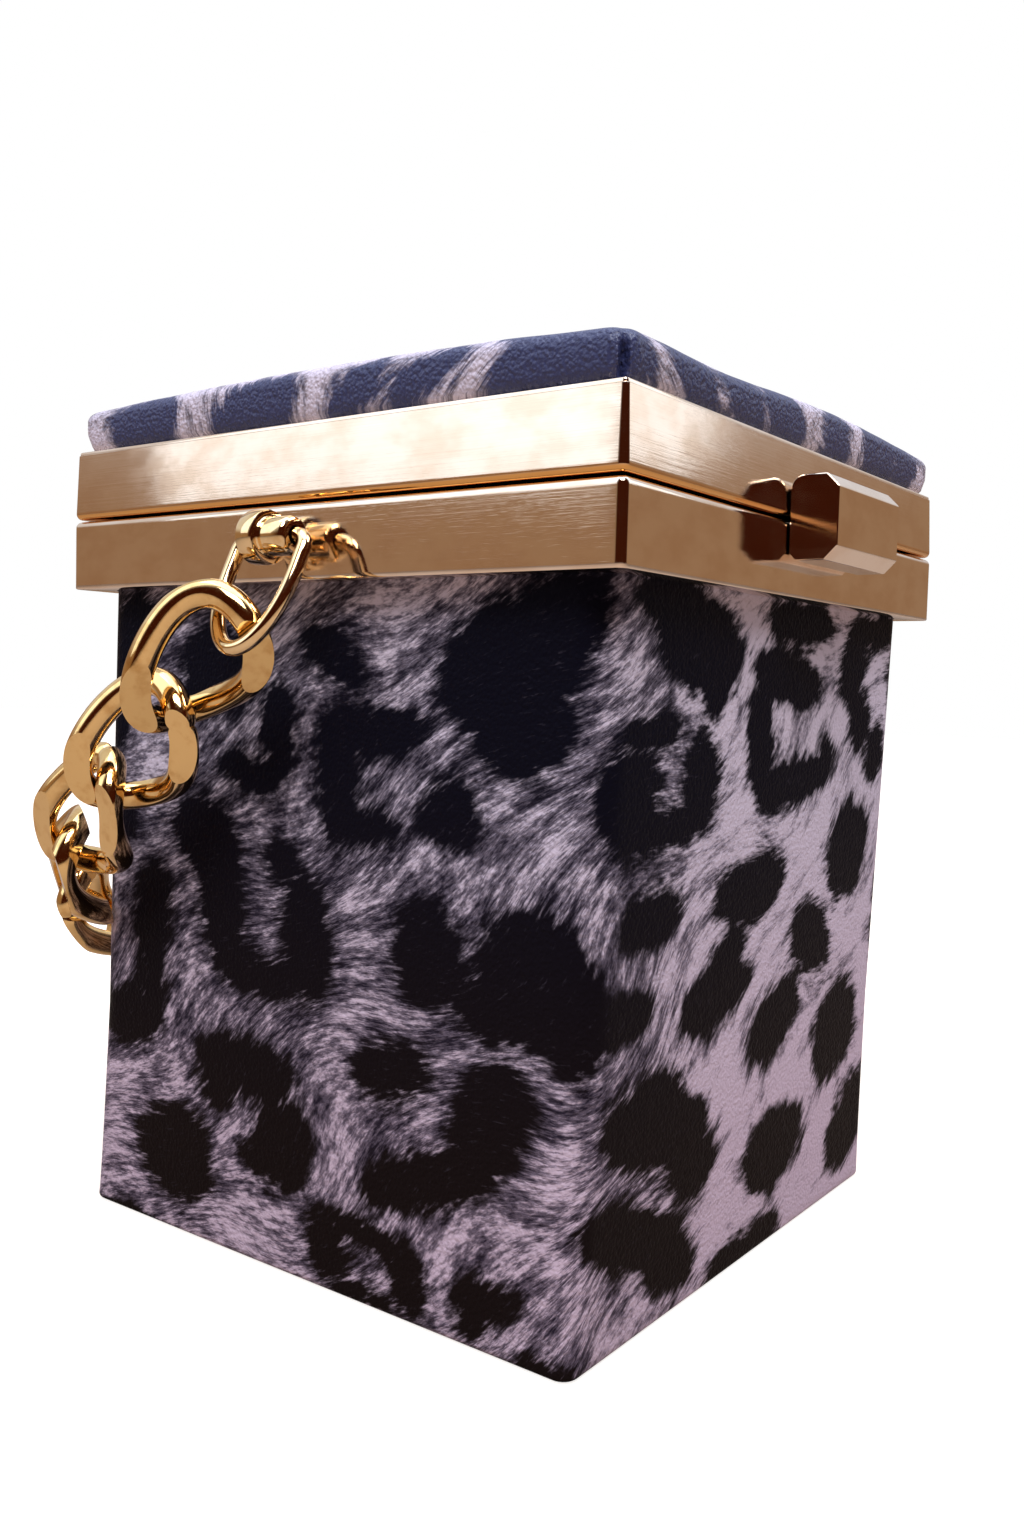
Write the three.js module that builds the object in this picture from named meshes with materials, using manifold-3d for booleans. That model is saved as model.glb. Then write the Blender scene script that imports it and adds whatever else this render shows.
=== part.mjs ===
// Box bag: a soft square box in a printed cover, held at its mouth by a two-part metal frame.
// The lid is the upper half of the frame with a padded panel, hinged at the back.
// A bar clasp on the front opens on its own pin, and a curb chain hangs between two side lugs.
// Millimetres, +Z up, the front is -Y, the origin is the middle of the base.

import * as THREE from "three";
import { mergeVertices } from "three/addons/utils/BufferGeometryUtils.js";
import Module from "manifold-3d";

const wasm = await Module();
wasm.setup();

// Driving dimensions
const clearance = 0.3;
const overshoot = 1;

const frameWidth = 140;
const frameDepth = 140;
const frameCornerRadius = 1.6;
const railHeight = 14.5;
const railSheet = 1.2;
const railEdgeChamfer = 0.7;
const seamGap = 0.4;
const railSkirtShort = 3;

const bodyHeight = 135;
const bodyWall = 2.5;
const bodyCornerRadius = 7;
const bodyBaseRadius = 2.6;
const bodyInsetTop = 4.8;
const bodyInsetBase = 6.5;
const baseLeanX = -2.2;
const baseLeanY = 2.2;

const padInset = 1.0;
const padCornerRise = 8.4;
const padSideRise = 9.6;
const padCrown = 13;
const padEdgeRadius = 2.4;
const padShares = [0.85, 0.62, 0.36, 0.14];

const hingePinDiameter = 2.4;
const hingeBarrelWall = 1.3;
const hingeKnuckleLength = 8;
const hingeKnuckleCount = 5;
const hingePinHead = 1.2;
const hingeStandOff = 0.5;

const claspLength = 31;
const claspHeight = 16.2;
const claspDepth = 9.7;
const claspChamfer = 2.5;
const claspShift = 4.5;
const claspWall = 3;
const claspPinDiameter = 1.8;
const claspPinWall = 1.5;
const claspEarWidth = 2.4;
const claspEarSpacing = 16;
const claspMagnetHeight = 5.4;
const claspEarShort = 0.7;

const ringWire = 2.9;
const ringHalfWidth = 8.6;
const ringDrop = 22.8;
const ringBend = 2.9;
const ringTaper = 15;
const ringSwing = THREE.MathUtils.degToRad(25);

const lugStandOff = 5.6;
const lugHeight = 142.5;
const lugShift = 1.2;
const lugPlay = 0.7;
const lugBarrelDiameter = 7.2;
const lugBarrelLength = 6.4;
const lugCollarDiameter = 10.2;
const lugCollarLength = 4.4;
const lugStemDiameter = 3.4;
const lugHeadDiameter = 6;
const lugHeadThickness = 1.1;

const linkWire = 5.6;
const linkWidth = 24.6;
const linkFlat = 8.2;
const linkGap = 0.85;
const linkTwistGap = 2;
const linkPitchNominal = 23.2;
const linkLiftShare = 0.515;

// Route of the chain's middle line, from the left ring round the back to the right ring.
// Roll turns a link about the route, in degrees, from facing straight outwards.
const chainRoute = [
  { x: -83.3, y: 12.9, z: 118.8, roll: -58 },
  { x: -83.2, y: 29.8, z: 102.6, roll: -37 },
  { x: -81, y: 47.8, z: 87.8, roll: -23 },
  { x: -72.8, y: 64, z: 74.5, roll: -20 },
  { x: -57.3, y: 76, z: 63.5, roll: -27 },
  { x: -37, y: 81.3, z: 55.5, roll: -30 },
  { x: 0, y: 82.5, z: 50.5, roll: -30 },
  { x: 37, y: 81.3, z: 55.5, roll: -31 },
  { x: 57.3, y: 76, z: 63.5, roll: -29 },
  { x: 72.8, y: 64, z: 74.5, roll: -19 },
  { x: 81, y: 47.8, z: 87.8, roll: -11.5 },
  { x: 83.2, y: 29.8, z: 102.6, roll: -6 },
  { x: 84.2, y: 12.9, z: 118, roll: -10 },
];

// Sizes that follow
const halfWidth = frameWidth / 2;
const halfDepth = frameDepth / 2;
const lowerRailTop = bodyHeight + railHeight;
const upperRailBase = lowerRailTop + seamGap;
const upperRailTop = upperRailBase + railHeight;
const seamHeight = lowerRailTop + seamGap / 2;
const channelDepth = bodyInsetTop + bodyWall + clearance + railSheet;
const bodyRim = lowerRailTop - railSheet - clearance;
const cornerSteps = 5;
const innerCornerAt = (depth) => bodyCornerRadius + bodyInsetTop - depth;
const lugBore = ringWire + lugPlay;

// Colours and finishes
const printedCover = new THREE.MeshStandardMaterial({ color: 0x4b4658, roughness: 0.55, metalness: 0 });
const paleGold = new THREE.MeshStandardMaterial({ color: 0xcaa987, roughness: 0.28, metalness: 1 });
const warmGold = new THREE.MeshStandardMaterial({ color: 0xd7a45f, roughness: 0.16, metalness: 1 });
const darkMagnet = new THREE.MeshStandardMaterial({ color: 0x3a3a3c, roughness: 0.45, metalness: 0.8 });

// A closed mesh from points and triangles
function meshFrom(points, triangles) {
  const geometry = new THREE.BufferGeometry();
  const flat = points.flatMap((p) => [p.x, p.y, p.z]);
  geometry.setAttribute("position", new THREE.Float32BufferAttribute(flat, 3));
  geometry.setIndex(triangles.flat());
  return geometry;
}

function toSolid(geometry) {
  const bare = geometry.clone();
  bare.deleteAttribute("normal");
  bare.deleteAttribute("uv");
  const merged = mergeVertices(bare, 1e-4);
  const index = merged.index.array;
  const mesh = new wasm.Mesh({
    numProp: 3,
    vertProperties: new Float32Array(merged.attributes.position.array),
    triVerts: new Uint32Array(index),
  });
  return new wasm.Manifold(mesh);
}

function toGeometry(solid) {
  const mesh = solid.getMesh();
  const geometry = new THREE.BufferGeometry();
  geometry.setAttribute("position", new THREE.BufferAttribute(mesh.vertProperties, 3));
  geometry.setIndex(new THREE.BufferAttribute(mesh.triVerts, 1));
  return geometry;
}

function join(first, ...others) {
  return toGeometry(others.reduce((solid, g) => solid.add(toSolid(g)), toSolid(first)));
}

function cut(first, ...others) {
  return toGeometry(others.reduce((solid, g) => solid.subtract(toSolid(g)), toSolid(first)));
}

// The other side's copy: X changes sign and the faces are turned back outwards
function mirrored(geometry) {
  const copy = geometry.clone();
  copy.applyMatrix4(new THREE.Matrix4().makeScale(-1, 1, 1));
  const index = Array.from(copy.index.array);
  const turned = [];
  for (let i = 0; i < index.length; i += 3) turned.push(index[i], index[i + 2], index[i + 1]);
  copy.setIndex(turned);
  return copy;
}

function block(x0, x1, y0, y1, z0, z1) {
  return new THREE.BoxGeometry(x1 - x0, y1 - y0, z1 - z0)
    .translate((x0 + x1) / 2, (y0 + y1) / 2, (z0 + z1) / 2);
}

function rodX(diameter, x0, x1, y, z, sides = 16) {
  return new THREE.CylinderGeometry(diameter / 2, diameter / 2, x1 - x0, sides)
    .rotateZ(Math.PI / 2).translate((x0 + x1) / 2, y, z);
}

function rodY(diameter, y0, y1, x, z, sides = 16) {
  return new THREE.CylinderGeometry(diameter / 2, diameter / 2, y1 - y0, sides)
    .translate(x, (y0 + y1) / 2, z);
}

// Rounded rectangle, counter-clockwise: quarter circles at the corners, points along the sides
function roundedRectangle(halfX, halfY, radius, cornerSteps, sideSteps, z, shiftX = 0, shiftY = 0) {
  const points = [];
  const corners = [[1, 1, 0], [-1, 1, 1], [-1, -1, 2], [1, -1, 3]];
  corners.forEach(([sx, sy, quarter], k) => {
    const [cx, cy] = [sx * (halfX - radius), sy * (halfY - radius)];
    for (let i = 0; i <= cornerSteps; i++) {
      const angle = (quarter + i / cornerSteps) * Math.PI / 2;
      points.push(new THREE.Vector3(
        cx + radius * Math.cos(angle) + shiftX, cy + radius * Math.sin(angle) + shiftY, z));
    }
    const [nx, ny, next] = corners[(k + 1) % 4];
    const from = points[points.length - 1];
    const to = new THREE.Vector3(
      nx * (halfX - radius) + radius * Math.cos(next * Math.PI / 2) + shiftX,
      ny * (halfY - radius) + radius * Math.sin(next * Math.PI / 2) + shiftY, z);
    for (let i = 1; i < sideSteps; i++) points.push(from.clone().lerp(to, i / sideSteps));
  });
  return points;
}

// A skin over rings of equal count: closed round (a tube) or capped by a fan at both ends
function skin(rings, closedRound) {
  const count = rings[0].length;
  const points = rings.flat();
  const triangles = [];
  const last = closedRound ? rings.length : rings.length - 1;
  for (let r = 0; r < last; r++) {
    const [a, b] = [r * count, ((r + 1) % rings.length) * count];
    for (let i = 0; i < count; i++) {
      const j = (i + 1) % count;
      triangles.push([a + i, a + j, b + j], [a + i, b + j, b + i]);
    }
  }
  if (!closedRound) {
    const fan = (ring, flip) => {
      const centre = new THREE.Vector3();
      rings[ring].forEach((p) => centre.add(p));
      points.push(centre.divideScalar(count));
      const [c, base] = [points.length - 1, ring * count];
      for (let i = 0; i < count; i++) {
        const j = (i + 1) % count;
        triangles.push(flip ? [c, base + j, base + i] : [c, base + i, base + j]);
      }
    };
    fan(0, true);
    fan(rings.length - 1, false);
  }
  return meshFrom(points, triangles);
}

// A rail: a closed section of [depth inwards, height] points swept round the frame.
// Its outside has the frame's corner, and what lies beside the body's wall follows the body's corner.
function sweepRail(section) {
  const cornerAt = (depth) => depth < bodyInsetTop - 2 * clearance
    ? Math.max(frameCornerRadius - depth, frameCornerRadius / 4)
    : innerCornerAt(depth);
  const rings = section.map(([depth, z]) => roundedRectangle(
    halfWidth - depth, halfDepth - depth, cornerAt(depth), cornerSteps, 1, z));
  return skin(rings, true);
}

// Channel section for one rail, from its seam face outwards; up is 1 for the upper rail
function railSection(seam, up) {
  const outer = seam + up * railHeight;
  const lipDepth = bodyInsetTop - clearance;
  const skirtEnd = seam + up * (railHeight - railSkirtShort);
  const points = [
    [railEdgeChamfer, seam],
    [0, seam + up * railEdgeChamfer],
    [0, outer - up * railEdgeChamfer],
    [railEdgeChamfer, outer],
    [lipDepth, outer],
    [lipDepth, outer - up * railSheet],
    [railSheet, outer - up * railSheet],
    [railSheet, seam + up * railSheet],
    [channelDepth - railSheet, seam + up * railSheet],
    [channelDepth - railSheet, skirtEnd],
    [channelDepth, skirtEnd],
    [channelDepth, seam],
  ];
  return up > 0 ? points : points.reverse();
}

// Hinge at the back, outside the rails
const hingeAxisY = halfDepth + hingePinDiameter / 2 + clearance + hingeBarrelWall + hingeStandOff;
const hingeBore = hingePinDiameter + 2 * clearance;
const hingeBarrel = hingeBore + 2 * hingeBarrelWall;
const hingeSpan = hingeKnuckleCount * hingeKnuckleLength;

// Knuckles of one half, soldered to its rail by a leaf that reaches into the rail's sheet
function knuckles(parity, up) {
  const pieces = [];
  for (let i = 0; i < hingeKnuckleCount; i++) {
    if (i % 2 !== parity) continue;
    const x0 = -hingeSpan / 2 + i * hingeKnuckleLength + clearance / 2;
    const x1 = x0 + hingeKnuckleLength - clearance;
    const leafTop = seamHeight + up * hingeBarrel / 2;
    const leafBase = seamHeight + up * (seamGap + clearance) / 2;
    pieces.push(rodX(hingeBarrel, x0, x1, hingeAxisY, seamHeight));
    pieces.push(block(x0, x1, halfDepth - railSheet / 2, hingeAxisY,
      Math.min(leafBase, leafTop), Math.max(leafBase, leafTop)));
  }
  return pieces;
}

const hingeHole = rodX(hingeBore, -hingeSpan / 2 - overshoot, hingeSpan / 2 + overshoot, hingeAxisY, seamHeight);

// Clasp: an eight-sided bar, its top back edge rounded about the pin so that it clears the rail
const claspBack = -halfDepth - clearance;
const claspFront = claspBack - claspDepth;
const claspTop = seamHeight + claspHeight / 2;
const claspBase = seamHeight - claspHeight / 2;
const claspLeft = claspShift - claspLength / 2;
const claspRight = claspShift + claspLength / 2;
const claspBore = claspPinDiameter + 2 * clearance;
const claspTurnRadius = claspBore / 2 + claspPinWall;
const claspPinY = claspBack - claspTurnRadius;
const claspPinZ = claspTop - claspTurnRadius;
const claspPinLeft = claspLeft + claspWall / 2;
const claspPinRight = claspRight - claspWall / 2;
const claspEarRadius = claspTurnRadius - claspEarShort;
const claspEars = [claspShift - claspEarSpacing / 2, claspShift + claspEarSpacing / 2];

// Extrudes a closed outline of the YZ plane along X
function alongX(outline, x0, x1, curveSegments = 5) {
  return new THREE.ExtrudeGeometry(outline, { depth: x1 - x0, bevelEnabled: false, curveSegments })
    .applyMatrix4(new THREE.Matrix4().makeBasis(
      new THREE.Vector3(0, 1, 0), new THREE.Vector3(0, 0, 1), new THREE.Vector3(1, 0, 0)))
    .translate(x0, 0, 0);
}

function makeClaspLever() {
  const outline = new THREE.Shape();
  const soft = claspChamfer / 2;
  outline.moveTo(claspBack - soft, claspBase);
  outline.lineTo(claspBack, claspBase + soft);
  outline.lineTo(claspBack, claspPinZ);
  outline.absarc(claspPinY, claspPinZ, claspTurnRadius, 0, Math.PI / 2, false);
  outline.lineTo(claspFront + claspChamfer, claspTop);
  outline.lineTo(claspFront, claspTop - claspChamfer);
  outline.lineTo(claspFront, claspBase + claspChamfer);
  outline.lineTo(claspFront + claspChamfer, claspBase);
  const pocketTop = claspPinZ - claspTurnRadius;
  const pocket = block(claspLeft + claspWall, claspRight - claspWall,
    claspFront + claspWall, claspBack + overshoot, claspBase + claspWall, pocketTop);
  const slots = claspEars.map((x) => block(
    x - claspEarWidth / 2 - clearance, x + claspEarWidth / 2 + clearance,
    claspPinY - claspEarRadius - clearance, claspBack + overshoot, pocketTop - overshoot, claspTop + overshoot));
  const bore = rodX(claspBore, claspPinLeft - clearance, claspPinRight + clearance, claspPinY, claspPinZ);
  return cut(alongX(outline, claspLeft, claspRight), pocket, ...slots, bore);
}

function makeClaspMagnet() {
  return block(
    claspLeft + claspWall + clearance, claspRight - claspWall - clearance,
    claspFront + claspWall + clearance, claspBack - clearance,
    claspBase + claspWall + clearance, claspBase + claspWall + clearance + claspMagnetHeight);
}

// One ear of the clasp: a plate soldered into the upper rail's sheet, round about the pin
function makeEar(x) {
  const outline = new THREE.Shape();
  outline.moveTo(-halfDepth + railSheet / 2, claspPinZ - claspEarRadius);
  outline.lineTo(-halfDepth + railSheet / 2, claspPinZ + claspEarRadius);
  outline.lineTo(claspPinY, claspPinZ + claspEarRadius);
  outline.absarc(claspPinY, claspPinZ, claspEarRadius, Math.PI / 2, Math.PI * 1.5, false);
  return alongX(outline, x - claspEarWidth / 2, x + claspEarWidth / 2);
}

function makeLowerFrame() {
  const rail = sweepRail(railSection(lowerRailTop, -1));
  const hole = new THREE.CylinderGeometry(
    lugStemDiameter / 2 + clearance, lugStemDiameter / 2 + clearance, 4 * railSheet, 16)
    .rotateZ(Math.PI / 2);
  const holes = [-1, 1].map((side) => hole.clone().translate(side * halfWidth, lugCollarMiddle, lugHeight));
  return cut(join(rail, ...knuckles(0, -1)), hingeHole, ...holes);
}

function makeUpperFrame() {
  const rail = sweepRail(railSection(upperRailBase, 1));
  const earBore = rodX(claspBore, claspLeft, claspRight, claspPinY, claspPinZ);
  return cut(join(rail, ...knuckles(1, 1), ...claspEars.map(makeEar)), hingeHole, earBore);
}

// The body's skin: outside from the middle of the base up to the rim, then down the inside
function makeBodyShell() {
  const insetAt = (z) => THREE.MathUtils.lerp(bodyInsetBase, bodyInsetTop, Math.min(z / bodyHeight, 1));
  const leanAt = (z) => 1 - Math.min(z / bodyHeight, 1);
  const ring = (z, extra, radius) => {
    const inset = insetAt(z) + extra;
    return roundedRectangle(halfWidth - inset, halfDepth - inset, radius, cornerSteps, 1, z,
      baseLeanX * leanAt(z), baseLeanY * leanAt(z));
  };
  const rings = [];
  const roundSteps = 4;
  for (let i = 0; i <= roundSteps; i++) {
    const angle = (i / roundSteps) * Math.PI / 2;
    const inwards = bodyBaseRadius * (1 - Math.sin(angle));
    rings.push(ring(bodyBaseRadius * (1 - Math.cos(angle)), inwards, bodyCornerRadius - inwards / 2));
  }
  rings.push(ring(bodyHeight / 2, 0, bodyCornerRadius));
  rings.push(ring(bodyHeight, 0, bodyCornerRadius));
  rings.push(ring(bodyRim, 0, bodyCornerRadius));
  const innerRadius = bodyCornerRadius - bodyWall;
  rings.push(ring(bodyRim, bodyWall, innerRadius));
  rings.push(ring(bodyHeight, bodyWall, innerRadius));
  rings.push(ring(bodyHeight / 2, bodyWall, innerRadius));
  rings.push(ring(bodyWall + bodyBaseRadius / 2, bodyWall, innerRadius));
  rings.push(ring(bodyWall, bodyWall + bodyBaseRadius / 2, innerRadius));
  return skin(rings, false);
}

// Height of the pad's top: low at the corners, higher along the sides, highest in the middle
function padHeight(x, y, halfX, halfY) {
  const cx = Math.cos(Math.PI / 2 * THREE.MathUtils.clamp(x / halfX, -1, 1));
  const cy = Math.cos(Math.PI / 2 * THREE.MathUtils.clamp(y / halfY, -1, 1));
  const side = padSideRise - padCornerRise;
  return padCornerRise + side * (cx + cy) + (padCrown - padSideRise - side) * cx * cy;
}

// The pad: a board that drops into the upper frame, and the padding that covers the rail's top
function makeLidPad() {
  const sideSteps = 4;
  const boardDepth = channelDepth + clearance;
  const boardHalfX = halfWidth - boardDepth;
  const boardHalfY = halfDepth - boardDepth;
  const padHalfX = halfWidth - padInset;
  const padHalfY = halfDepth - padInset;
  const boardBase = upperRailBase + railSheet + clearance;
  const base = upperRailTop + clearance;
  const flat = (halfX, halfY, radius, z) => roundedRectangle(halfX, halfY, radius, cornerSteps, sideSteps, z);
  const rings = [
    flat(boardHalfX, boardHalfY, innerCornerAt(boardDepth), boardBase),
    flat(boardHalfX, boardHalfY, innerCornerAt(boardDepth), base),
    flat(padHalfX, padHalfY, padEdgeRadius, base),
  ];
  const quarterTurn = 1 - Math.SQRT1_2;
  const shoulder = (inset, drop) => flat(padHalfX - inset, padHalfY - inset, padEdgeRadius, 0)
    .map((p) => p.setZ(upperRailTop + padHeight(p.x, p.y, padHalfX, padHalfY) - drop));
  rings.push(shoulder(0, padEdgeRadius));
  rings.push(shoulder(padEdgeRadius * quarterTurn, padEdgeRadius * quarterTurn));
  rings.push(shoulder(padEdgeRadius, 0));
  for (const share of padShares) {
    const [halfX, halfY] = [padHalfX * share, padHalfY * share];
    rings.push(flat(halfX, halfY, padEdgeRadius * share, 0)
      .map((p) => p.setZ(upperRailTop + padHeight(p.x, p.y, padHalfX, padHalfY))));
  }
  return skin(rings, false);
}

// Lug on the left side: a collar and a barrel with a bore along Y, riveted through the rail
const lugX = -halfWidth - lugStandOff;
const lugBarrelFront = lugShift - (lugBarrelLength + lugCollarLength) / 2;
const lugBarrelBack = lugBarrelFront + lugBarrelLength;
const lugCollarMiddle = lugBarrelBack + lugCollarLength / 2;

function makeLug() {
  const barrel = rodY(lugBarrelDiameter, lugBarrelFront, lugBarrelBack + overshoot, lugX, lugHeight);
  const collar = rodY(lugCollarDiameter, lugBarrelBack, lugBarrelBack + lugCollarLength, lugX, lugHeight, 20);
  const headX = -halfWidth + railSheet + clearance;
  const stem = rodX(lugStemDiameter, lugX, headX + lugHeadThickness / 2, lugCollarMiddle, lugHeight, 12);
  const head = rodX(lugHeadDiameter, headX, headX + lugHeadThickness, lugCollarMiddle, lugHeight, 12);
  const bore = rodY(lugBore, lugBarrelFront - overshoot, lugBarrelBack + lugCollarLength + overshoot,
    lugX, lugHeight, 12);
  return cut(join(barrel, collar, stem, head), bore);
}

// A closed tube: the section's points lie round each point of the middle line
function closedTube(line, sectionAt) {
  const rings = line.map((point, i) => sectionAt(point, i));
  return skin(rings, true);
}

// Stirrup ring: a straight bar in the lug, two bends, two arms and a half ellipse below.
// It is drawn in its own plane and swung outwards about the bar.
function makeRing() {
  const line = [];
  const barHalf = ringHalfWidth - ringBend;
  const armEnd = ringDrop - ringTaper;
  const add = (u, v) => line.push([u, v]);
  const bendSteps = 3;
  for (const u of [-barHalf, 0, barHalf]) add(u, 0);
  for (let i = 1; i <= bendSteps; i++) {
    const a = (i / bendSteps) * Math.PI / 2;
    add(barHalf + ringBend * Math.sin(a), -ringBend * (1 - Math.cos(a)));
  }
  const belowSteps = 12;
  for (let i = 0; i <= belowSteps; i++) {
    const a = (i / belowSteps) * Math.PI;
    add(ringHalfWidth * Math.cos(a), -armEnd - ringTaper * Math.sin(a));
  }
  for (let i = bendSteps; i >= 1; i--) {
    const a = (i / bendSteps) * Math.PI / 2;
    add(-barHalf - ringBend * Math.sin(a), -ringBend * (1 - Math.cos(a)));
  }
  const outwards = new THREE.Vector3(-Math.cos(ringSwing), 0, Math.sin(ringSwing));
  const down = new THREE.Vector3(-Math.sin(ringSwing), 0, -Math.cos(ringSwing));
  const along = new THREE.Vector3(0, 1, 0);
  const origin = new THREE.Vector3(lugX, lugShift, lugHeight);
  const place = ([u, v]) => origin.clone().addScaledVector(along, u).addScaledVector(down, -v);
  const middle = line.map(place);
  const sides = 8;
  return closedTube(middle, (point, i) => {
    const count = middle.length;
    const tangent = middle[(i + 1) % count].clone().sub(middle[(i + count - 1) % count]).normalize();
    const across = new THREE.Vector3().crossVectors(outwards, tangent);
    return Array.from({ length: sides }, (_, k) => {
      const a = (k / sides) * Math.PI * 2;
      return point.clone().addScaledVector(across, ringWire / 2 * Math.cos(a))
        .addScaledVector(outwards, ringWire / 2 * Math.sin(a));
    });
  });
}

// Chain: links at equal steps along the route, each long enough to hold the next with a small gap
const routePoints = chainRoute.map(({ x, y, z }) => new THREE.Vector3(x, y, z));
const route = new THREE.CatmullRomCurve3(routePoints, false, "centripetal");
const linkSteps = Math.round(route.getLength() / linkPitchNominal);
const linkPitch = route.getLength() / linkSteps;
const linkReach = (linkPitch + linkWire + linkGap) / 2;
const linkSpread = (linkWidth - linkWire) / 2;
const linkLift = (linkWire + linkTwistGap) * linkLiftShare;

// Curb link in its own axes: an oval that twists twice out of its plane, with both faces ground flat.
// The section's points past the flat faces are moved onto them.
function makeLink() {
  const [steps, sides] = [16, 6];
  const at = (angle) => new THREE.Vector3(
    linkReach * Math.cos(angle), linkSpread * Math.sin(angle), -linkLift * Math.sin(2 * angle));
  const line = Array.from({ length: steps }, (_, i) => at(((i + 0.5) / steps) * Math.PI * 2));
  return closedTube(line, (point, i) => {
    const angle = ((i + 0.5) / steps) * Math.PI * 2;
    const tangent = at(angle + 0.01).sub(at(angle - 0.01)).normalize();
    const across = new THREE.Vector3().crossVectors(new THREE.Vector3(0, 0, 1), tangent).normalize();
    const lift = new THREE.Vector3().crossVectors(tangent, across);
    return Array.from({ length: sides }, (_, k) => {
      const a = ((k + 0.5) / sides) * Math.PI * 2;
      const p = point.clone().addScaledVector(across, linkWire / 2 * Math.cos(a))
        .addScaledVector(lift, linkWire / 2 * Math.sin(a));
      return p.setZ(THREE.MathUtils.clamp(p.z, -linkFlat / 2, linkFlat / 2));
    });
  });
}

// A link's place: its length along the route, its face turned outwards and rolled by the table
function linkPlace(index) {
  const share = index / linkSteps;
  const along = route.getUtoTmapping(share) * (chainRoute.length - 1);
  const before = Math.min(Math.floor(along), chainRoute.length - 2);
  const roll = THREE.MathUtils.lerp(chainRoute[before].roll, chainRoute[before + 1].roll, along - before);
  const tangent = route.getTangentAt(share);
  const face = new THREE.Vector3(-tangent.y, tangent.x, 0).normalize();
  face.applyAxisAngle(tangent, THREE.MathUtils.degToRad(roll));
  const across = new THREE.Vector3().crossVectors(face, tangent).normalize();
  face.crossVectors(tangent, across);
  return new THREE.Matrix4().makeBasis(tangent, across, face).setPosition(route.getPointAt(share));
}

// The assembly
const bag = new THREE.Group();

function add(name, geometry, material) {
  const mesh = new THREE.Mesh(geometry, material);
  mesh.name = name;
  bag.add(mesh);
  return mesh;
}

add("body_shell", makeBodyShell(), printedCover);
add("lower_frame", makeLowerFrame(), paleGold);
add("upper_frame", makeUpperFrame(), paleGold);
add("lid_pad", makeLidPad(), printedCover);
add("hinge_pin", rodX(hingePinDiameter, -hingeSpan / 2 - hingePinHead, hingeSpan / 2 + hingePinHead,
  hingeAxisY, seamHeight), paleGold);
add("clasp_lever", makeClaspLever(), paleGold);
add("clasp_pin", rodX(claspPinDiameter, claspPinLeft, claspPinRight, claspPinY, claspPinZ, 12), paleGold);
add("clasp_magnet", makeClaspMagnet(), darkMagnet);

const lug = makeLug();
const ring = makeRing();
add("chain_lug_left", lug, warmGold);
add("chain_lug_right", mirrored(lug), warmGold);
add("chain_ring_left", ring, warmGold);
add("chain_ring_right", mirrored(ring), warmGold);

const link = makeLink();
for (let i = 0; i <= linkSteps; i++) {
  const mesh = add(`chain_link_${String(i + 1).padStart(2, "0")}`, link, warmGold);
  mesh.applyMatrix4(linkPlace(i));
}

export default bag;
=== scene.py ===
# Box bag: printed cover over boards, padded lid, two-part metal frame, bar clasp and curb chain.
# Sizes are in millimetres and become metres when a mesh is made.
import math
import bmesh
import bpy
import numpy as np
from mathutils import Matrix


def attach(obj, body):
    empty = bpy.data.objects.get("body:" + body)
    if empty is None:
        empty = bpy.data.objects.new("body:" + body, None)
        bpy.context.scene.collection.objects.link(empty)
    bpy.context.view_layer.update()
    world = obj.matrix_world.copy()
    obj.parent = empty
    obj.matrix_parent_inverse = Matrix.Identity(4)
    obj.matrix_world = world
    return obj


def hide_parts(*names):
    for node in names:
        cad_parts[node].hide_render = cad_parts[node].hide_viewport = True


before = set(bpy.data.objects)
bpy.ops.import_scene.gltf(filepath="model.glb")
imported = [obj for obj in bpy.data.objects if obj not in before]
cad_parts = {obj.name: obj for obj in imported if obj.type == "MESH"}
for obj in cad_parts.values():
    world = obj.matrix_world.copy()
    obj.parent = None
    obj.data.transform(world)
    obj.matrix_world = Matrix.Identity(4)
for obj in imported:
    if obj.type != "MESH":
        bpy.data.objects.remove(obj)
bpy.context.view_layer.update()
mm = 0.001

case = {
    "half": 70.0, "height": 135.0, "wall": 2.5, "cornerRadius": 7.0, "baseRadius": 1.2, "footRadius": 3.0,
    "insetTop": 4.8, "insetBase": 5.9, "leanX": -2.3, "leanY": 2.0, "rim": 148.0,
}
rail = {
    "height": 14.5, "sheet": 1.2, "seamGap": 0.4, "cornerRadius": 1.6, "channelDepth": 8.8,
    "lipDepth": 4.5, "skirtShort": 3.0, "seamRound": 1.35, "edgeRound": 0.3, "flatIn": 0.3, "flatOut": 1.1,
    "ledge": 0.22, "ledgeShape": [(0, 0.85), (0.25, 0.78), (1, 0.70)],  # share of its depth, mm from the edge
    "upperLean": 0.6, "leastRadius": 0.4, "cornerSteps": 10, "sideSteps": 8, "rollSteps": 8,
}
seamLow = case["height"] + rail["height"]
seamHigh = seamLow + rail["seamGap"]
railTop = seamHigh + rail["height"]


# Meshes

# Quads between neighbouring points of a grid; point number = row * columns + column
def gridFaces(rows, columns, closeRows=False):
    r, c = np.meshgrid(np.arange(rows if closeRows else rows - 1), np.arange(columns), indexing="ij")
    r2, c2 = (r + 1) % rows, (c + 1) % columns
    quads = [r * columns + c, r * columns + c2, r2 * columns + c2, r2 * columns + c]
    return np.stack(quads, -1).reshape(-1, 4)


def addObject(name, data):
    item = bpy.data.objects.new(name, data)
    bpy.context.scene.collection.objects.link(item)
    return item


def makeMesh(name, points, faces, sharpAngle=35):
    mesh = bpy.data.meshes.new(name)
    mesh.from_pydata((np.asarray(points) * mm).tolist(), [], [tuple(f) for f in faces])
    mesh.validate()
    smoothMesh(mesh, sharpAngle)
    return addObject(name, mesh)


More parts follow.
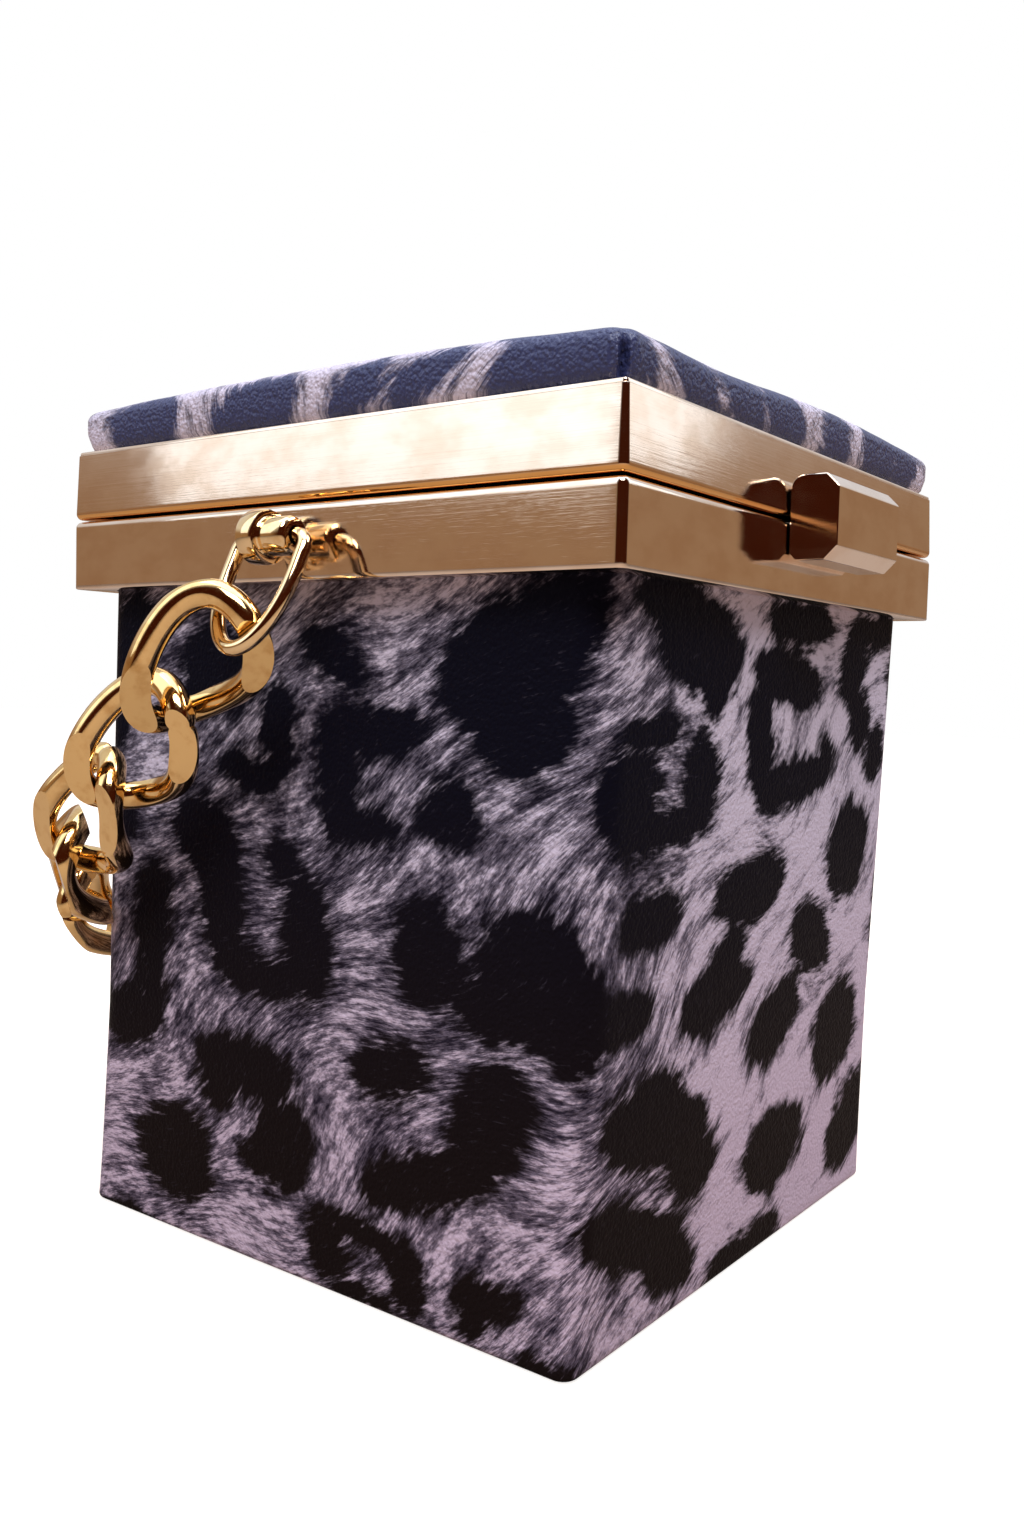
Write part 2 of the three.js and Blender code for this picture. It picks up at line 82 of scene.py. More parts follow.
def smoothMesh(mesh, sharpAngle=35):
    mesh.shade_smooth()
    mesh.set_sharp_from_angle(angle=math.radians(sharpAngle))


# Closed skin over rings of equal count (rows, columns, 3); its ends are closed by a fan or joined round
def skin(name, rings, closeRows=False, sharpAngle=35):
    rows, columns = rings.shape[:2]
    points = rings.reshape(-1, 3)
    faces = [tuple(f) for f in gridFaces(rows, columns, closeRows)]
    if not closeRows:
        for row, turned in ((0, True), (rows - 1, False)):
            ring = np.arange(columns) + row * columns
            middle = len(points)
            points = np.vstack([points, rings[row].mean(0)])
            ends = np.stack([np.full(columns, middle), ring, np.roll(ring, -1)], 1)
            faces += [tuple(f) for f in (ends[:, ::-1] if turned else ends)]
    return makeMesh(name, points, faces, sharpAngle)


# Columns of a rounded rectangle: where each one sits between the corners (ux, uy), from -1 to 1,
# and which way it faces (ca, sa), as the cosine and sine of its turn
def roundedColumns(cornerSteps, sideShares):
    ux, uy, ca, sa = [], [], [], []
    corners = [(1, 1), (-1, 1), (-1, -1), (1, -1)]
    for k, (sx, sy) in enumerate(corners):
        turn = (k + np.arange(cornerSteps + 1) / cornerSteps) * np.pi / 2
        nx, ny = corners[(k + 1) % 4]
        stays = np.ones(cornerSteps + 1)
        last = np.full(len(sideShares), turn[-1])
        ux += [sx * stays, sx + (nx - sx) * sideShares]
        uy += [sy * stays, sy + (ny - sy) * sideShares]
        ca += [np.cos(turn), np.cos(last)]
        sa += [np.sin(turn), np.sin(last)]
    return [np.concatenate(v) for v in (ux, uy, ca, sa)]


# Point = corner place * (half - radius) + radius * facing, per row of half, radius, height and shift
def roundedRings(columns, halfX, halfY, radius, z, shiftX=0.0, shiftY=0.0):
    ux, uy, ca, sa = (v[None, :] for v in columns)
    halfX, halfY, radius, z, shiftX, shiftY = (
        np.atleast_1d(np.asarray(v, float))[:, None] for v in (halfX, halfY, radius, z, shiftX, shiftY))
    x = ux * (halfX - radius) + radius * ca + shiftX
    y = uy * (halfY - radius) + radius * sa + shiftY
    return np.stack([x, y, z + 0 * x], -1)


# Tube: a circle of the given radius carried along a closed path, square to the path's tangent
def tubeRings(path, radius, sides, face):
    tangent = np.roll(path, -1, 0) - np.roll(path, 1, 0)
    tangent = tangent / np.linalg.norm(tangent, axis=1, keepdims=True)
    across = np.cross(face, tangent)
    across = across / np.linalg.norm(across, axis=1, keepdims=True)
    lift = np.cross(tangent, across)
    turn = (np.arange(sides) + 0.5) / sides * 2 * np.pi
    radius = np.broadcast_to(np.asarray(radius, float), len(path))[:, None, None]
    return path[:, None] + radius * (across[:, None] * np.cos(turn)[None, :, None]
                                     + lift[:, None] * np.sin(turn)[None, :, None])


# Turned part: radius over a place along an axis; the profile starts and ends on the axis or closes on itself
def turned(name, profile, centre, axis, sides, closeRows=False):
    along, radius = np.asarray(profile, float).T
    turn = np.arange(sides) / sides * 2 * np.pi
    first, second, third = {"x": (0, 1, 2), "y": (1, 2, 0)}[axis]
    rings = np.zeros((len(along), sides, 3))
    rings[..., first] = along[:, None]
    rings[..., second] = radius[:, None] * np.cos(turn)
    rings[..., third] = radius[:, None] * np.sin(turn)
    rings += np.array(centre)
    piece = skin(name, rings, closeRows)
    faceOut(piece)
    return piece


# Doubled points merged and every face turned outwards
def faceOut(piece):
    work = bmesh.new()
    work.from_mesh(piece.data)
    bmesh.ops.remove_doubles(work, verts=work.verts, dist=1e-7)
    bmesh.ops.dissolve_degenerate(work, edges=work.edges, dist=1e-8)
    bmesh.ops.recalc_face_normals(work, faces=work.faces)
    work.to_mesh(piece.data)
    work.free()
    smoothMesh(piece.data)


# A closed outline of (y, z) carried along X
def barAlongX(name, outline, x0, x1):
    outline = np.asarray(outline, float)
    count = len(outline)
    points = np.vstack([np.column_stack([np.full(count, x), outline]) for x in (x0, x1)])
    ends = [tuple(range(count))[::-1], tuple(range(count, 2 * count))]
    piece = makeMesh(name, points, [tuple(f) for f in gridFaces(2, count)] + ends)
    faceOut(piece)
    return piece


def roundEdges(piece, width, segments=3, angle=30):
    edge = piece.modifiers.new("roundEdges", "BEVEL")
    edge.width = width * mm
    edge.segments = segments
    edge.limit_method = "ANGLE"
    edge.angle_limit = math.radians(angle)
    edge.harden_normals = True
    edge.use_clamp_overlap = True


# A merged copy of a CAD node, with its flat facets joined and its edges rounded
def finerCopy(node, name, bevel):
    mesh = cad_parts[node].data.copy()
    mesh.name = name
    work = bmesh.new()
    work.from_mesh(mesh)
    bmesh.ops.remove_doubles(work, verts=work.verts, dist=2e-6)
    bmesh.ops.dissolve_limit(work, angle_limit=math.radians(1), verts=work.verts, edges=work.edges)
    bmesh.ops.recalc_face_normals(work, faces=work.faces)
    work.to_mesh(mesh)
    work.free()
    mesh.materials.clear()
    smoothMesh(mesh)
    piece = addObject(name, mesh)
    roundEdges(piece, bevel)
    return piece


def joinPieces(name, pieces):
    work = bmesh.new()
    for piece in pieces:
        work.from_mesh(piece.data)
        bpy.data.objects.remove(piece)
    mesh = bpy.data.meshes.new(name)
    work.to_mesh(mesh)
    work.free()
    smoothMesh(mesh)
    return addObject(name, mesh)


# Gives a piece its material and its body, and hides the CAD nodes that it stands for
def place(piece, body, slotName, material, *nodes):
    piece.data.materials.clear()
    piece.data.materials.append(material)
    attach(piece, body)
    if nodes:
        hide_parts(*nodes)


# Shader helpers

def newGroup(name, inputs, outputs):
    group = bpy.data.node_groups.new(name, "ShaderNodeTree")
    for label, kind, value in inputs:
        socket = group.interface.new_socket(label, in_out="INPUT", socket_type="NodeSocket" + kind)
        if value is not None:
            socket.default_value = value
    for label, kind in outputs:
        group.interface.new_socket(label, in_out="OUTPUT", socket_type="NodeSocket" + kind)
    nodes = group.nodes
    return group, nodes, group.links, nodes.new("NodeGroupInput"), nodes.new("NodeGroupOutput")


def addNode(nodes, kind, **values):
    node = nodes.new("ShaderNode" + kind)
    for key, value in values.items():
        setattr(node, key, value)
    return node


# Sets or links a socket: a socket is linked, anything else becomes its fixed value
def feed(links, socket, value):
    if isinstance(value, bpy.types.NodeSocket):
        links.new(value, socket)
    elif value is not None:
        socket.default_value = value


def maths(nodes, links, operation, first, second=None, third=None):
    node = addNode(nodes, "Math", operation=operation)
    for socket, value in zip(node.inputs, (first, second, third)):
        feed(links, socket, value)
    return node.outputs[0]


def noise(nodes, links, vector, scale, detail=3.0, roughness=0.55):
    node = addNode(nodes, "TexNoise")
    feed(links, node.inputs["Vector"], vector)
    node.inputs["Scale"].default_value = scale
    node.inputs["Detail"].default_value = detail
    node.inputs["Roughness"].default_value = roughness
    return node.outputs["Fac"]


def stretched(nodes, links, vector, scale):
    node = addNode(nodes, "Mapping")
    feed(links, node.inputs["Vector"], vector)
    node.inputs["Scale"].default_value = scale
    return node.outputs["Vector"]


# Smooth change from one level to another while the value goes from low to high
def fade(nodes, links, value, low, high, toLow=0.0, toHigh=1.0):
    node = addNode(nodes, "MapRange", interpolation_type="SMOOTHSTEP")
    for socket, part in zip(node.inputs, (value, low, high, toLow, toHigh)):
        feed(links, socket, part)
    return node.outputs["Result"]


def mixColour(nodes, links, share, first, second, blend="MIX"):
    node = addNode(nodes, "Mix", data_type="RGBA", blend_type=blend)
    feed(links, node.inputs[0], share)
    feed(links, node.inputs[6], first)
    feed(links, node.inputs[7], second)
    return node.outputs[2]


def newMaterial(name, **values):
    material = bpy.data.materials.new(name)
    material.use_nodes = True
    nodes, links = material.node_tree.nodes, material.node_tree.links
    shader = nodes["Principled BSDF"]
    for key, value in values.items():
        shader.inputs[key].default_value = value
    return material, nodes, links, shader


def addGroup(nodes, links, group, **values):
    node = addNode(nodes, "Group", node_tree=group)
    for key, value in values.items():
        feed(links, node.inputs[key], value)
    return node


def addBump(nodes, links, height, distance, strength=1.0, normal=None):
    node = addNode(nodes, "Bump")
    feed(links, node.inputs["Height"], height)
    node.inputs["Distance"].default_value = distance
    node.inputs["Strength"].default_value = strength
    feed(links, node.inputs["Normal"], normal)
    return node.outputs["Normal"]


brushLooks = {
    "lineScale": (30, 30, 2600), "cloudScale": (85, 85, 150), "cloudFade": (0.35, 0.7), "cloudTone": 0.8,
    "gloss": (0.2, 0.8),
}
pebbleLooks = {"cells": 1350.0, "smoothness": 0.6, "softScale": 900.0, "cellHeight": -0.8}


# Fine parallel brushing with a cloudy change of gloss: noise drawn out along X and Y, thin along Z
def makeBrushing():
    group, nodes, links, inlet, outlet = newGroup(
        "railBrushing", [("Place", "Vector", None)], [("Lines", "Float"), ("Clouds", "Float")])
    here = inlet.outputs["Place"]
    lines = noise(nodes, links, stretched(nodes, links, here, brushLooks["lineScale"]), 1.0, 4, 0.7)
    clouds = noise(nodes, links, stretched(nodes, links, here, brushLooks["cloudScale"]), 1.0, 3)
    links.new(lines, outlet.inputs["Lines"])
    links.new(clouds, outlet.inputs["Clouds"])
    return group


# Pebbled grain of a coated cover: height = soft noise - 0.8 * distance from the middle of a small cell
def makePebbles():
    inputs = [("Place", "Vector", None), ("Cells", "Float", pebbleLooks["cells"])]
    group, nodes, links, inlet, outlet = newGroup("coverPebbles", inputs, [("Height", "Float")])
    cells = addNode(nodes, "TexVoronoi", feature="SMOOTH_F1")
    feed(links, cells.inputs["Vector"], inlet.outputs["Place"])
    feed(links, cells.inputs["Scale"], inlet.outputs["Cells"])
    cells.inputs["Smoothness"].default_value = pebbleLooks["smoothness"]
    soft = noise(nodes, links, inlet.outputs["Place"], pebbleLooks["softScale"], 2)
    height = maths(nodes, links, "MULTIPLY_ADD", cells.outputs["Distance"], pebbleLooks["cellHeight"], soft)
    links.new(height, outlet.inputs["Height"])
    return group


brushing = makeBrushing()
pebbles = makePebbles()

printLooks = {
    "furLight": (0.560, 0.500, 0.610, 1), "furMid": (0.120, 0.105, 0.142, 1),
    "furDark": (0.018, 0.015, 0.026, 1), "spotUnderWarmLight": (0.0085, 0.0052, 0.0052, 1),
    "paintedWarmLightTint": (0.97, 0.86, 0.88, 1),
    "strandScale": (26, 110, 1), "fineScale": (70, 300, 1), "tuftScale": (8, 20, 1), "strandShare": 0.62,
    "ragged": 3.6, "tuft": 5.2, "spotEdge": (-1.2, 2.6),  # how far hairs and tufts fray a spot's edge, in mm
    "byTufts": (0.34, 0.66, 0.0, 0.42), "byDistance": (0.5, 9.0, 0.0, 0.26), "paintedLightByCalm": 0.46, "paintedLightByFoot": 0.12,
    "hairMiddle": 0.49, "hairSwing": 2.3, "calmSwing": -0.9, "darkToMid": (-0.05, 0.42),
    "midToLight": (0.30, 0.86), "paintedLightFoot": (0.5, 0.0), "paintedWarmLightRise": (0.85, 0.1), "glint": (0.56, 0.72),
    "gloss": (0.0, 0.6, 0.40, 0.58),
    "grainStrength": 0.8, "hairDepth": 0.0002, "hairStrength": 0.4,
}
# where the case and the lid differ: tone of spots (on the lid a painted blue reflection), painted sheen of
# hairs in them, specular level, depth of grain (m)
coverLooks = {
    "furPrintCover": {"spot": (0.0040, 0.0038, 0.0085, 1), "hairs": 0.2, "shine": 0.02, "grain": 0.0002},
    # the lid's spots are brighter and bluer than the case's: a painted reflection of cool light on the grain
    "furPrintLid": {"spot": (0.024, 0.030, 0.098, 1), "hairs": 0.35, "shine": 0.5, "grain": 0.00042},
}


# Fur print: the spot attribute (mm outside a spot) is frayed by noise drawn out along the hair map.
# Lightness = tufts + distance from a spot + painted light by the calm share and by the foot + hairs;
# fur goes dark, middle, light
def makeCover(name):
    look, own = printLooks, coverLooks[name]
    material, nodes, links, shader = newMaterial(name, **{"Specular IOR Level": own["shine"]})
    hair = addNode(nodes, "UVMap", uv_map="hair").outputs["UV"]
    spot, rise, calmAndLit = (addNode(nodes, "Attribute", attribute_name=label).outputs["Fac"]
                        for label in ("spot", "rise", "calmAndLit"))
    here = addNode(nodes, "TexCoord").outputs["Object"]

    def alongHair(scale, detail, roughness):
        return noise(nodes, links, stretched(nodes, links, hair, scale), 1.0, detail, roughness)

    # value * factor + rest
    def scaledAdd(value, factor, rest):
        return maths(nodes, links, "MULTIPLY_ADD", value, factor, rest)

    # (value - middle) * factor + rest
    def swingAdd(value, middle, factor, rest):
        return scaledAdd(maths(nodes, links, "SUBTRACT", value, middle), factor, rest)

    strands = alongHair(look["strandScale"], 4, 0.62)
    fine = alongHair(look["fineScale"], 3, 0.6)
    tufts = alongHair(look["tuftScale"], 4, 0.62)
    fine = maths(nodes, links, "MULTIPLY", fine, 1 - look["strandShare"])
    hairs = scaledAdd(strands, look["strandShare"], fine)
    frayed = swingAdd(tufts, 0.5, look["tuft"] * 2, swingAdd(strands, 0.5, look["ragged"] * 2, spot))
    outside = fade(nodes, links, frayed, *look["spotEdge"])
    away = fade(nodes, links, frayed, *look["byDistance"])
    light = maths(nodes, links, "ADD", fade(nodes, links, tufts, *look["byTufts"]), away)
    # painted light: the calm share lightens the fur of the front face and the lid, and the fur near the foot
    # is lightened too
    light = scaledAdd(calmAndLit, look["paintedLightByCalm"], light)
    light = scaledAdd(fade(nodes, links, rise, *look["paintedLightFoot"]), look["paintedLightByFoot"], light)
    swing = scaledAdd(calmAndLit, look["calmSwing"], look["hairSwing"])
    light = swingAdd(hairs, look["hairMiddle"], swing, light)
    toMid, toLight = (fade(nodes, links, light, *look[step]) for step in ("darkToMid", "midToLight"))
    fur = mixColour(nodes, links, toMid, look["furDark"], look["furMid"])
    fur = mixColour(nodes, links, toLight, fur, look["furLight"])
    # painted light: towards the foot the fur is tinted warm and the spots turn from navy to brown, standing
    # in for warm light from below
    warmLightShare = fade(nodes, links, rise, *look["paintedWarmLightRise"])
    fur = mixColour(nodes, links, warmLightShare, fur, mixColour(nodes, links, 1.0, fur, look["paintedWarmLightTint"], "MULTIPLY"))
    dark = mixColour(nodes, links, warmLightShare, own["spot"], look["spotUnderWarmLight"])
    # painted highlight: hair strands inside the spots take the middle fur tone as a sheen
    glint = maths(nodes, links, "MULTIPLY", fade(nodes, links, hairs, *look["glint"]), own["hairs"])
    dark = mixColour(nodes, links, glint, dark, look["furMid"])
    links.new(mixColour(nodes, links, outside, dark, fur), shader.inputs["Base Color"])
    grain = addGroup(nodes, links, pebbles, Place=here).outputs["Height"]
    normal = addBump(nodes, links, grain, own["grain"], look["grainStrength"])
    normal = addBump(nodes, links, hairs, look["hairDepth"], look["hairStrength"], normal)
    links.new(normal, shader.inputs["Normal"])
    links.new(fade(nodes, links, grain, *look["gloss"]), shader.inputs["Roughness"])
    return material


liningLooks = {
    "dark": (0.012, 0.011, 0.013, 1), "light": (0.030, 0.027, 0.032, 1), "weave": (900, 900, 1400),
    "depth": 0.0001,
}


# Plain cloth inside the case and under the lid
def makeLining():
    material, nodes, links, shader = newMaterial(
        "insideLining", **{"Roughness": 0.85, "Sheen Weight": 0.15, "Specular IOR Level": 0.25})
    here = addNode(nodes, "TexCoord").outputs["Object"]
    weave = noise(nodes, links, stretched(nodes, links, here, liningLooks["weave"]), 1.0, 2)
    tone = mixColour(nodes, links, weave, liningLooks["dark"], liningLooks["light"])
    links.new(tone, shader.inputs["Base Color"])
    links.new(addBump(nodes, links, weave, liningLooks["depth"], 0.6), shader.inputs["Normal"])
    return material


# Tone, worn tone, lowest and highest roughness, and depth of the brushing or the waves in m
metalLooks = {
    "brushedRail": ((0.86, 0.725, 0.60, 1), (0.76, 0.58, 0.43, 1), (0.05, 0.11), 0.00002),
    "satinClasp": ((0.86, 0.725, 0.60, 1), (0.76, 0.58, 0.43, 1), (0.05, 0.12), 0.00001),
    "warmChain": ((0.86, 0.60, 0.27, 1), (0.66, 0.40, 0.15, 1), (0.06, 0.14), 0.00003),
    "paleChain": ((0.88, 0.66, 0.37, 1), (0.72, 0.48, 0.22, 1), (0.05, 0.12), 0.00002),
    "groundFaces": ((0.84, 0.57, 0.32, 1), (0.78, 0.50, 0.25, 1), (0.12, 0.22), 0.00002),
    "plainMagnet": ((0.20, 0.20, 0.21, 1), (0.12, 0.12, 0.13, 1), (0.4, 0.6), 0.00002),
}
# the painted warm reflection, a band over the seam, comes in from low to full, in mm over the lower rail's
# edge, and goes out from end to gone, in mm over the upper rail's
seamReflectionLooks = {"tone": (0.80, 0.42, 0.13, 1), "low": -0.35, "full": 0.1, "end": 0.8, "gone": 1.6}
wearLooks = {"wearScale": 260.0, "wearFade": (0.45, 0.75), "speckScale": 2400.0, "speckFade": (0.3, 0.75)}


# Satin plated rail: brushed lines in gloss and bump, clouds that are worn in tone and gloss, and on request
# a painted warm reflection over the seam
def makeRailMetal(name, paintedSeamReflection=False):
    tone, worn, roughness, depth = metalLooks[name]
    material, nodes, links, shader = newMaterial(name, **{"Metallic": 1.0})
    here = addNode(nodes, "TexCoord").outputs["Object"]
    brush = addGroup(nodes, links, brushing, Place=here)
    clouds = fade(nodes, links, brush.outputs["Clouds"], *brushLooks["cloudFade"])
    share = maths(nodes, links, "MULTIPLY", clouds, brushLooks["cloudTone"])
    tone = mixColour(nodes, links, share, tone, worn)
    # painted reflection: the rolled edges at the seam take a warm orange tone that stands for the warm room
    # mirrored there
    if paintedSeamReflection:
        parts = addNode(nodes, "SeparateXYZ")
        links.new(here, parts.inputs[0])
        rising = fade(nodes, links, parts.outputs["Z"], (seamLow + seamReflectionLooks["low"]) * mm,
                      (seamLow + seamReflectionLooks["full"]) * mm)
        falling = fade(nodes, links, parts.outputs["Z"], (seamHigh + seamReflectionLooks["gone"]) * mm,
                       (seamHigh + seamReflectionLooks["end"]) * mm)
        reflectionBand = maths(nodes, links, "MULTIPLY", rising, falling)
        tone = mixColour(nodes, links, reflectionBand, tone, seamReflectionLooks["tone"])
    links.new(tone, shader.inputs["Base Color"])
    gloss = maths(nodes, links, "MULTIPLY", clouds, 0.5)
    gloss = maths(nodes, links, "MULTIPLY_ADD", brush.outputs["Lines"], 0.5, gloss)
    links.new(fade(nodes, links, gloss, *brushLooks["gloss"], *roughness), shader.inputs["Roughness"])
    links.new(addBump(nodes, links, brush.outputs["Lines"], depth, 0.5), shader.inputs["Normal"])
    return material


# Polished plating with faint waves and fine wear
def makePolished(name):
    tone, worn, roughness, depth = metalLooks[name]
    material, nodes, links, shader = newMaterial(name, **{"Metallic": 1.0})
    here = addNode(nodes, "TexCoord").outputs["Object"]
    wear = noise(nodes, links, here, wearLooks["wearScale"], 4)
    specks = noise(nodes, links, here, wearLooks["speckScale"], 2)
    tone = mixColour(nodes, links, fade(nodes, links, wear, *wearLooks["wearFade"]), tone, worn)
    links.new(tone, shader.inputs["Base Color"])
    specks = fade(nodes, links, specks, *wearLooks["speckFade"], *roughness)
    links.new(specks, shader.inputs["Roughness"])
    links.new(addBump(nodes, links, wear, depth, 0.5), shader.inputs["Normal"])
    return material


coverPrint = makeCover("furPrintCover")
lidPrint = makeCover("furPrintLid")
lining = makeLining()
railMetal = makeRailMetal("brushedRail", paintedSeamReflection=True)
claspMetal = makeRailMetal("satinClasp")
chainMetal = makePolished("warmChain")
ringMetal = makePolished("paleChain")
groundMetal = makePolished("groundFaces")
magnetMetal = makePolished("plainMagnet")
print("materials made")


# Print chart of one face. Each spot is an ellipse: its middle from the face's middle line, its height,
# half its length and half its width in mm, and its turn in degrees
leftSpots = [
    (46, 121, 17, 11, 22), (48, 110, 11, 10, 0), (57, 129, 9, 7, 0), (4, 121.5, 9, 4.6, -32),
    (14, 107.5, 13.5, 5, 4), (6, 97, 5.5, 11, 0), (13, 90, 9, 4, 0), (33, 94, 7.5, 6.5, -10),
    (-10, 107, 5, 10, 10), (-18, 98, 9, 4.5, -15), (-28, 118, 11, 9, 0), (-56, 128, 9, 6, 20),
    (-60, 112, 5, 12, 0), (-30, 84, 11, 8, -35), (-25, 70, 6.5, 13, 12), (-14, 58, 12, 4.5, -8),
    (-1, 67, 7, 13, 10), (-8, 81, 6, 4, -30),
    (-46, 67, 6.5, 10, -8), (-53, 44, 12, 6.5, 6), (-46, 53, 5, 8, 0), (-60, 86, 6, 9, 0),
    (29, 68, 8.5, 9.5, 10), (53, 67, 14, 12, -20), (43, 60, 9, 5, -15), (61, 60, 8, 9, 0),
    (21, 45.5, 10, 6, 12), (44, 42, 8, 11, -28), (28, 26.5, 14.5, 5.5, 20), (40, 32, 8, 5, 35),
    (-17, 39, 14.5, 6.5, -4), (-25, 34, 6, 5, 0), (-6, 27, 8, 9, 0), (-9, 21, 9, 4, -8),
    (-38, 16, 12.5, 9, -18), (-36, 23, 8, 4, 0), (6, 9, 5, 7, 15), (15, 14, 10, 2.8, -8), (26, 8, 4.5, 7, 20),
    (16, 2, 8, 2.4, 0), (44, 9.5, 7.5, 3.8, 8), (40, 5, 4, 3.5, 0), (58, 0.3, 7, 2.2, -12),
    (-54, 0, 10, 1.3, 0),
]
frontSpots = [
    (-34, 125, 16.5, 9.5, -14), (-46, 132, 12, 5, 0), (-28, 116, 5, 5, 0),
    (-57, 98, 10, 9.5, 0), (-50, 109, 10, 3.5, 6), (-45, 92, 13, 4, 2), (-32, 100, 7, 9.5, -8),
    (-48, 76.5, 11.5, 5.5, 10), (-57, 60, 12.5, 4.8, 3),
    (3, 119.5, 16.5, 6, -6), (-8, 107, 6, 12, 12), (9, 98.5, 19, 5, 6), (24, 103, 5, 5.5, 0),
    (8, 131, 17, 4.6, 0),
    (37, 122, 7.5, 9, -15), (43, 110, 7, 6, -40), (53, 103, 5.5, 7, -20), (48, 131, 15, 4.5, 5),
    (41, 82, 12, 11, 15), (-9, 78, 16, 7, 4), (-22, 58.5, 15, 6.5, 8), (-17, 67, 7, 5, 20),
    (6, 49, 12.5, 8, 24), (22, 64, 12, 7.5, -30), (40, 40.5, 13, 11.5, 20),
    (-43, 38, 20, 8.5, -12), (-28, 28, 10, 8, -15), (-43, 44, 9, 5, 0),
    (-52, 20, 17, 6.5, -20), (-36, 12, 11, 7.5, -25), (10, 21, 15, 9.5, 4), (53, 16, 15, 9, 30),
    (-2, 2, 18, 5, 4), (63, 66, 4, 14, 0), (62, 120, 4, 7, 0),
]
faceSpan = 130.4  # one face of the cover from corner to corner


# Distance outside the nearest spot: each is a turned ellipse, (|p/size| - 1) * |p| / |p/size|, blended softly
def spotDistance(u, z, spots, softness=1.3):
    table = np.array(spots, float)
    turn = np.radians(table[:, 4])
    du = u[..., None] - table[:, 0]
    dz = z[..., None] - table[:, 1]
    along = du * np.cos(turn) + dz * np.sin(turn)
    across = dz * np.cos(turn) - du * np.sin(turn)
    far = np.hypot(along, across) + 1e-6
    ratio = np.hypot(along / table[:, 2], across / table[:, 3]) + 1e-6
    distance = (ratio - 1) * far / ratio
    return np.clip(-softness * np.log(np.exp(-distance / softness).sum(-1) + 1e-12), -12, 25)


# Slow waves over two directions: sin(a) cos(b) + 0.6 sin(b, a) + 0.4 cos(a, b) at unlike lengths
def slowWaves(a, b, size):
    return (np.sin(a / size + 1.3) * np.cos(b / size * 1.37) + 0.6 * np.sin(b / size * 2.1 + a / size * 0.8)
            + 0.4 * np.cos(a / size * 2.9 - b / size * 1.7 + 0.6))


hairLooks = {"lean": 28.0, "bend": 4.8, "wave": 21.0, "scale": 0.01, "calmFrom": 70, "calmOver": 45}


# Along and across the hair: the surface's place turned by the hair's lean, and bent by slow waves
def hairMap(u, z, lean):
    angle = math.radians(lean)
    bent = hairLooks["bend"] * slowWaves(u, z, hairLooks["wave"])
    along = u * math.cos(angle) + z * math.sin(angle)
    across = z * math.cos(angle) - u * math.sin(angle) + bent
    return np.column_stack([along, across]) * hairLooks["scale"]


# Hair map per face corner, carried on where a face closes the round; the rest is kept per point.
# Unless given, the calm share (smoother hairs and painted light) grows from 0 to 1 with the distance round
# the case from the middle of its left face
def paintPrint(piece, u, z, spot, rise, lean=hairLooks["lean"], calmAndLit=None):
    mesh = piece.data
    count = len(mesh.vertices)
    corner = np.empty(len(mesh.loops), int)
    start = np.empty(len(mesh.polygons), int)
    mesh.loops.foreach_get("vertex_index", corner)
    mesh.polygons.foreach_get("loop_start", start)
    around = np.asarray(u, float)[corner]
    largest = np.repeat(np.maximum.reduceat(around, start), np.diff(np.append(start, len(corner))))
    around = around + 4 * faceSpan * (largest - around > 2 * faceSpan)
    layer = mesh.uv_layers.new(name="hair")
    layer.data.foreach_set("uv", hairMap(around, np.asarray(z, float)[corner], lean).ravel())
    if calmAndLit is None:
        away = np.minimum(u, 4 * faceSpan - u)
        calmAndLit = np.clip((away - hairLooks["calmFrom"]) / hairLooks["calmOver"], 0, 1)
    for label, values in (("spot", spot), ("rise", rise), ("calmAndLit", np.broadcast_to(calmAndLit, len(u)))):
        layer = mesh.attributes.new(label, "FLOAT", "POINT")
        layer.data.foreach_set("value", np.asarray(values, float)[:count])


cover = {
    "cornerSteps": 8, "sideSteps": 84, "footSteps": 7, "rows": 90, "blendHeight": 45.0, "blendPower": 0.7,
    "underInsets": [40, 20], "underEdge": 2.0, "rimDrop": 0.6, "rimRound": 0.5, "leastRadius": 1.2,
    "insideHeights": [130, 100, 60, 20, 8, 4.5], "insideInsets": [0, 0, 0, 0, 0, 1.2],
    "floorInsets": [3.5, 20, 40],
    "swell": 0.35, "crease": 0.28, "creasePitch": 1.55, "creaseTilt": 0.18, "creaseHeight": 128.0,
    "creaseSpread": 7.0, "creaseReach": 22.0, "hiddenGap": 10.0,
}


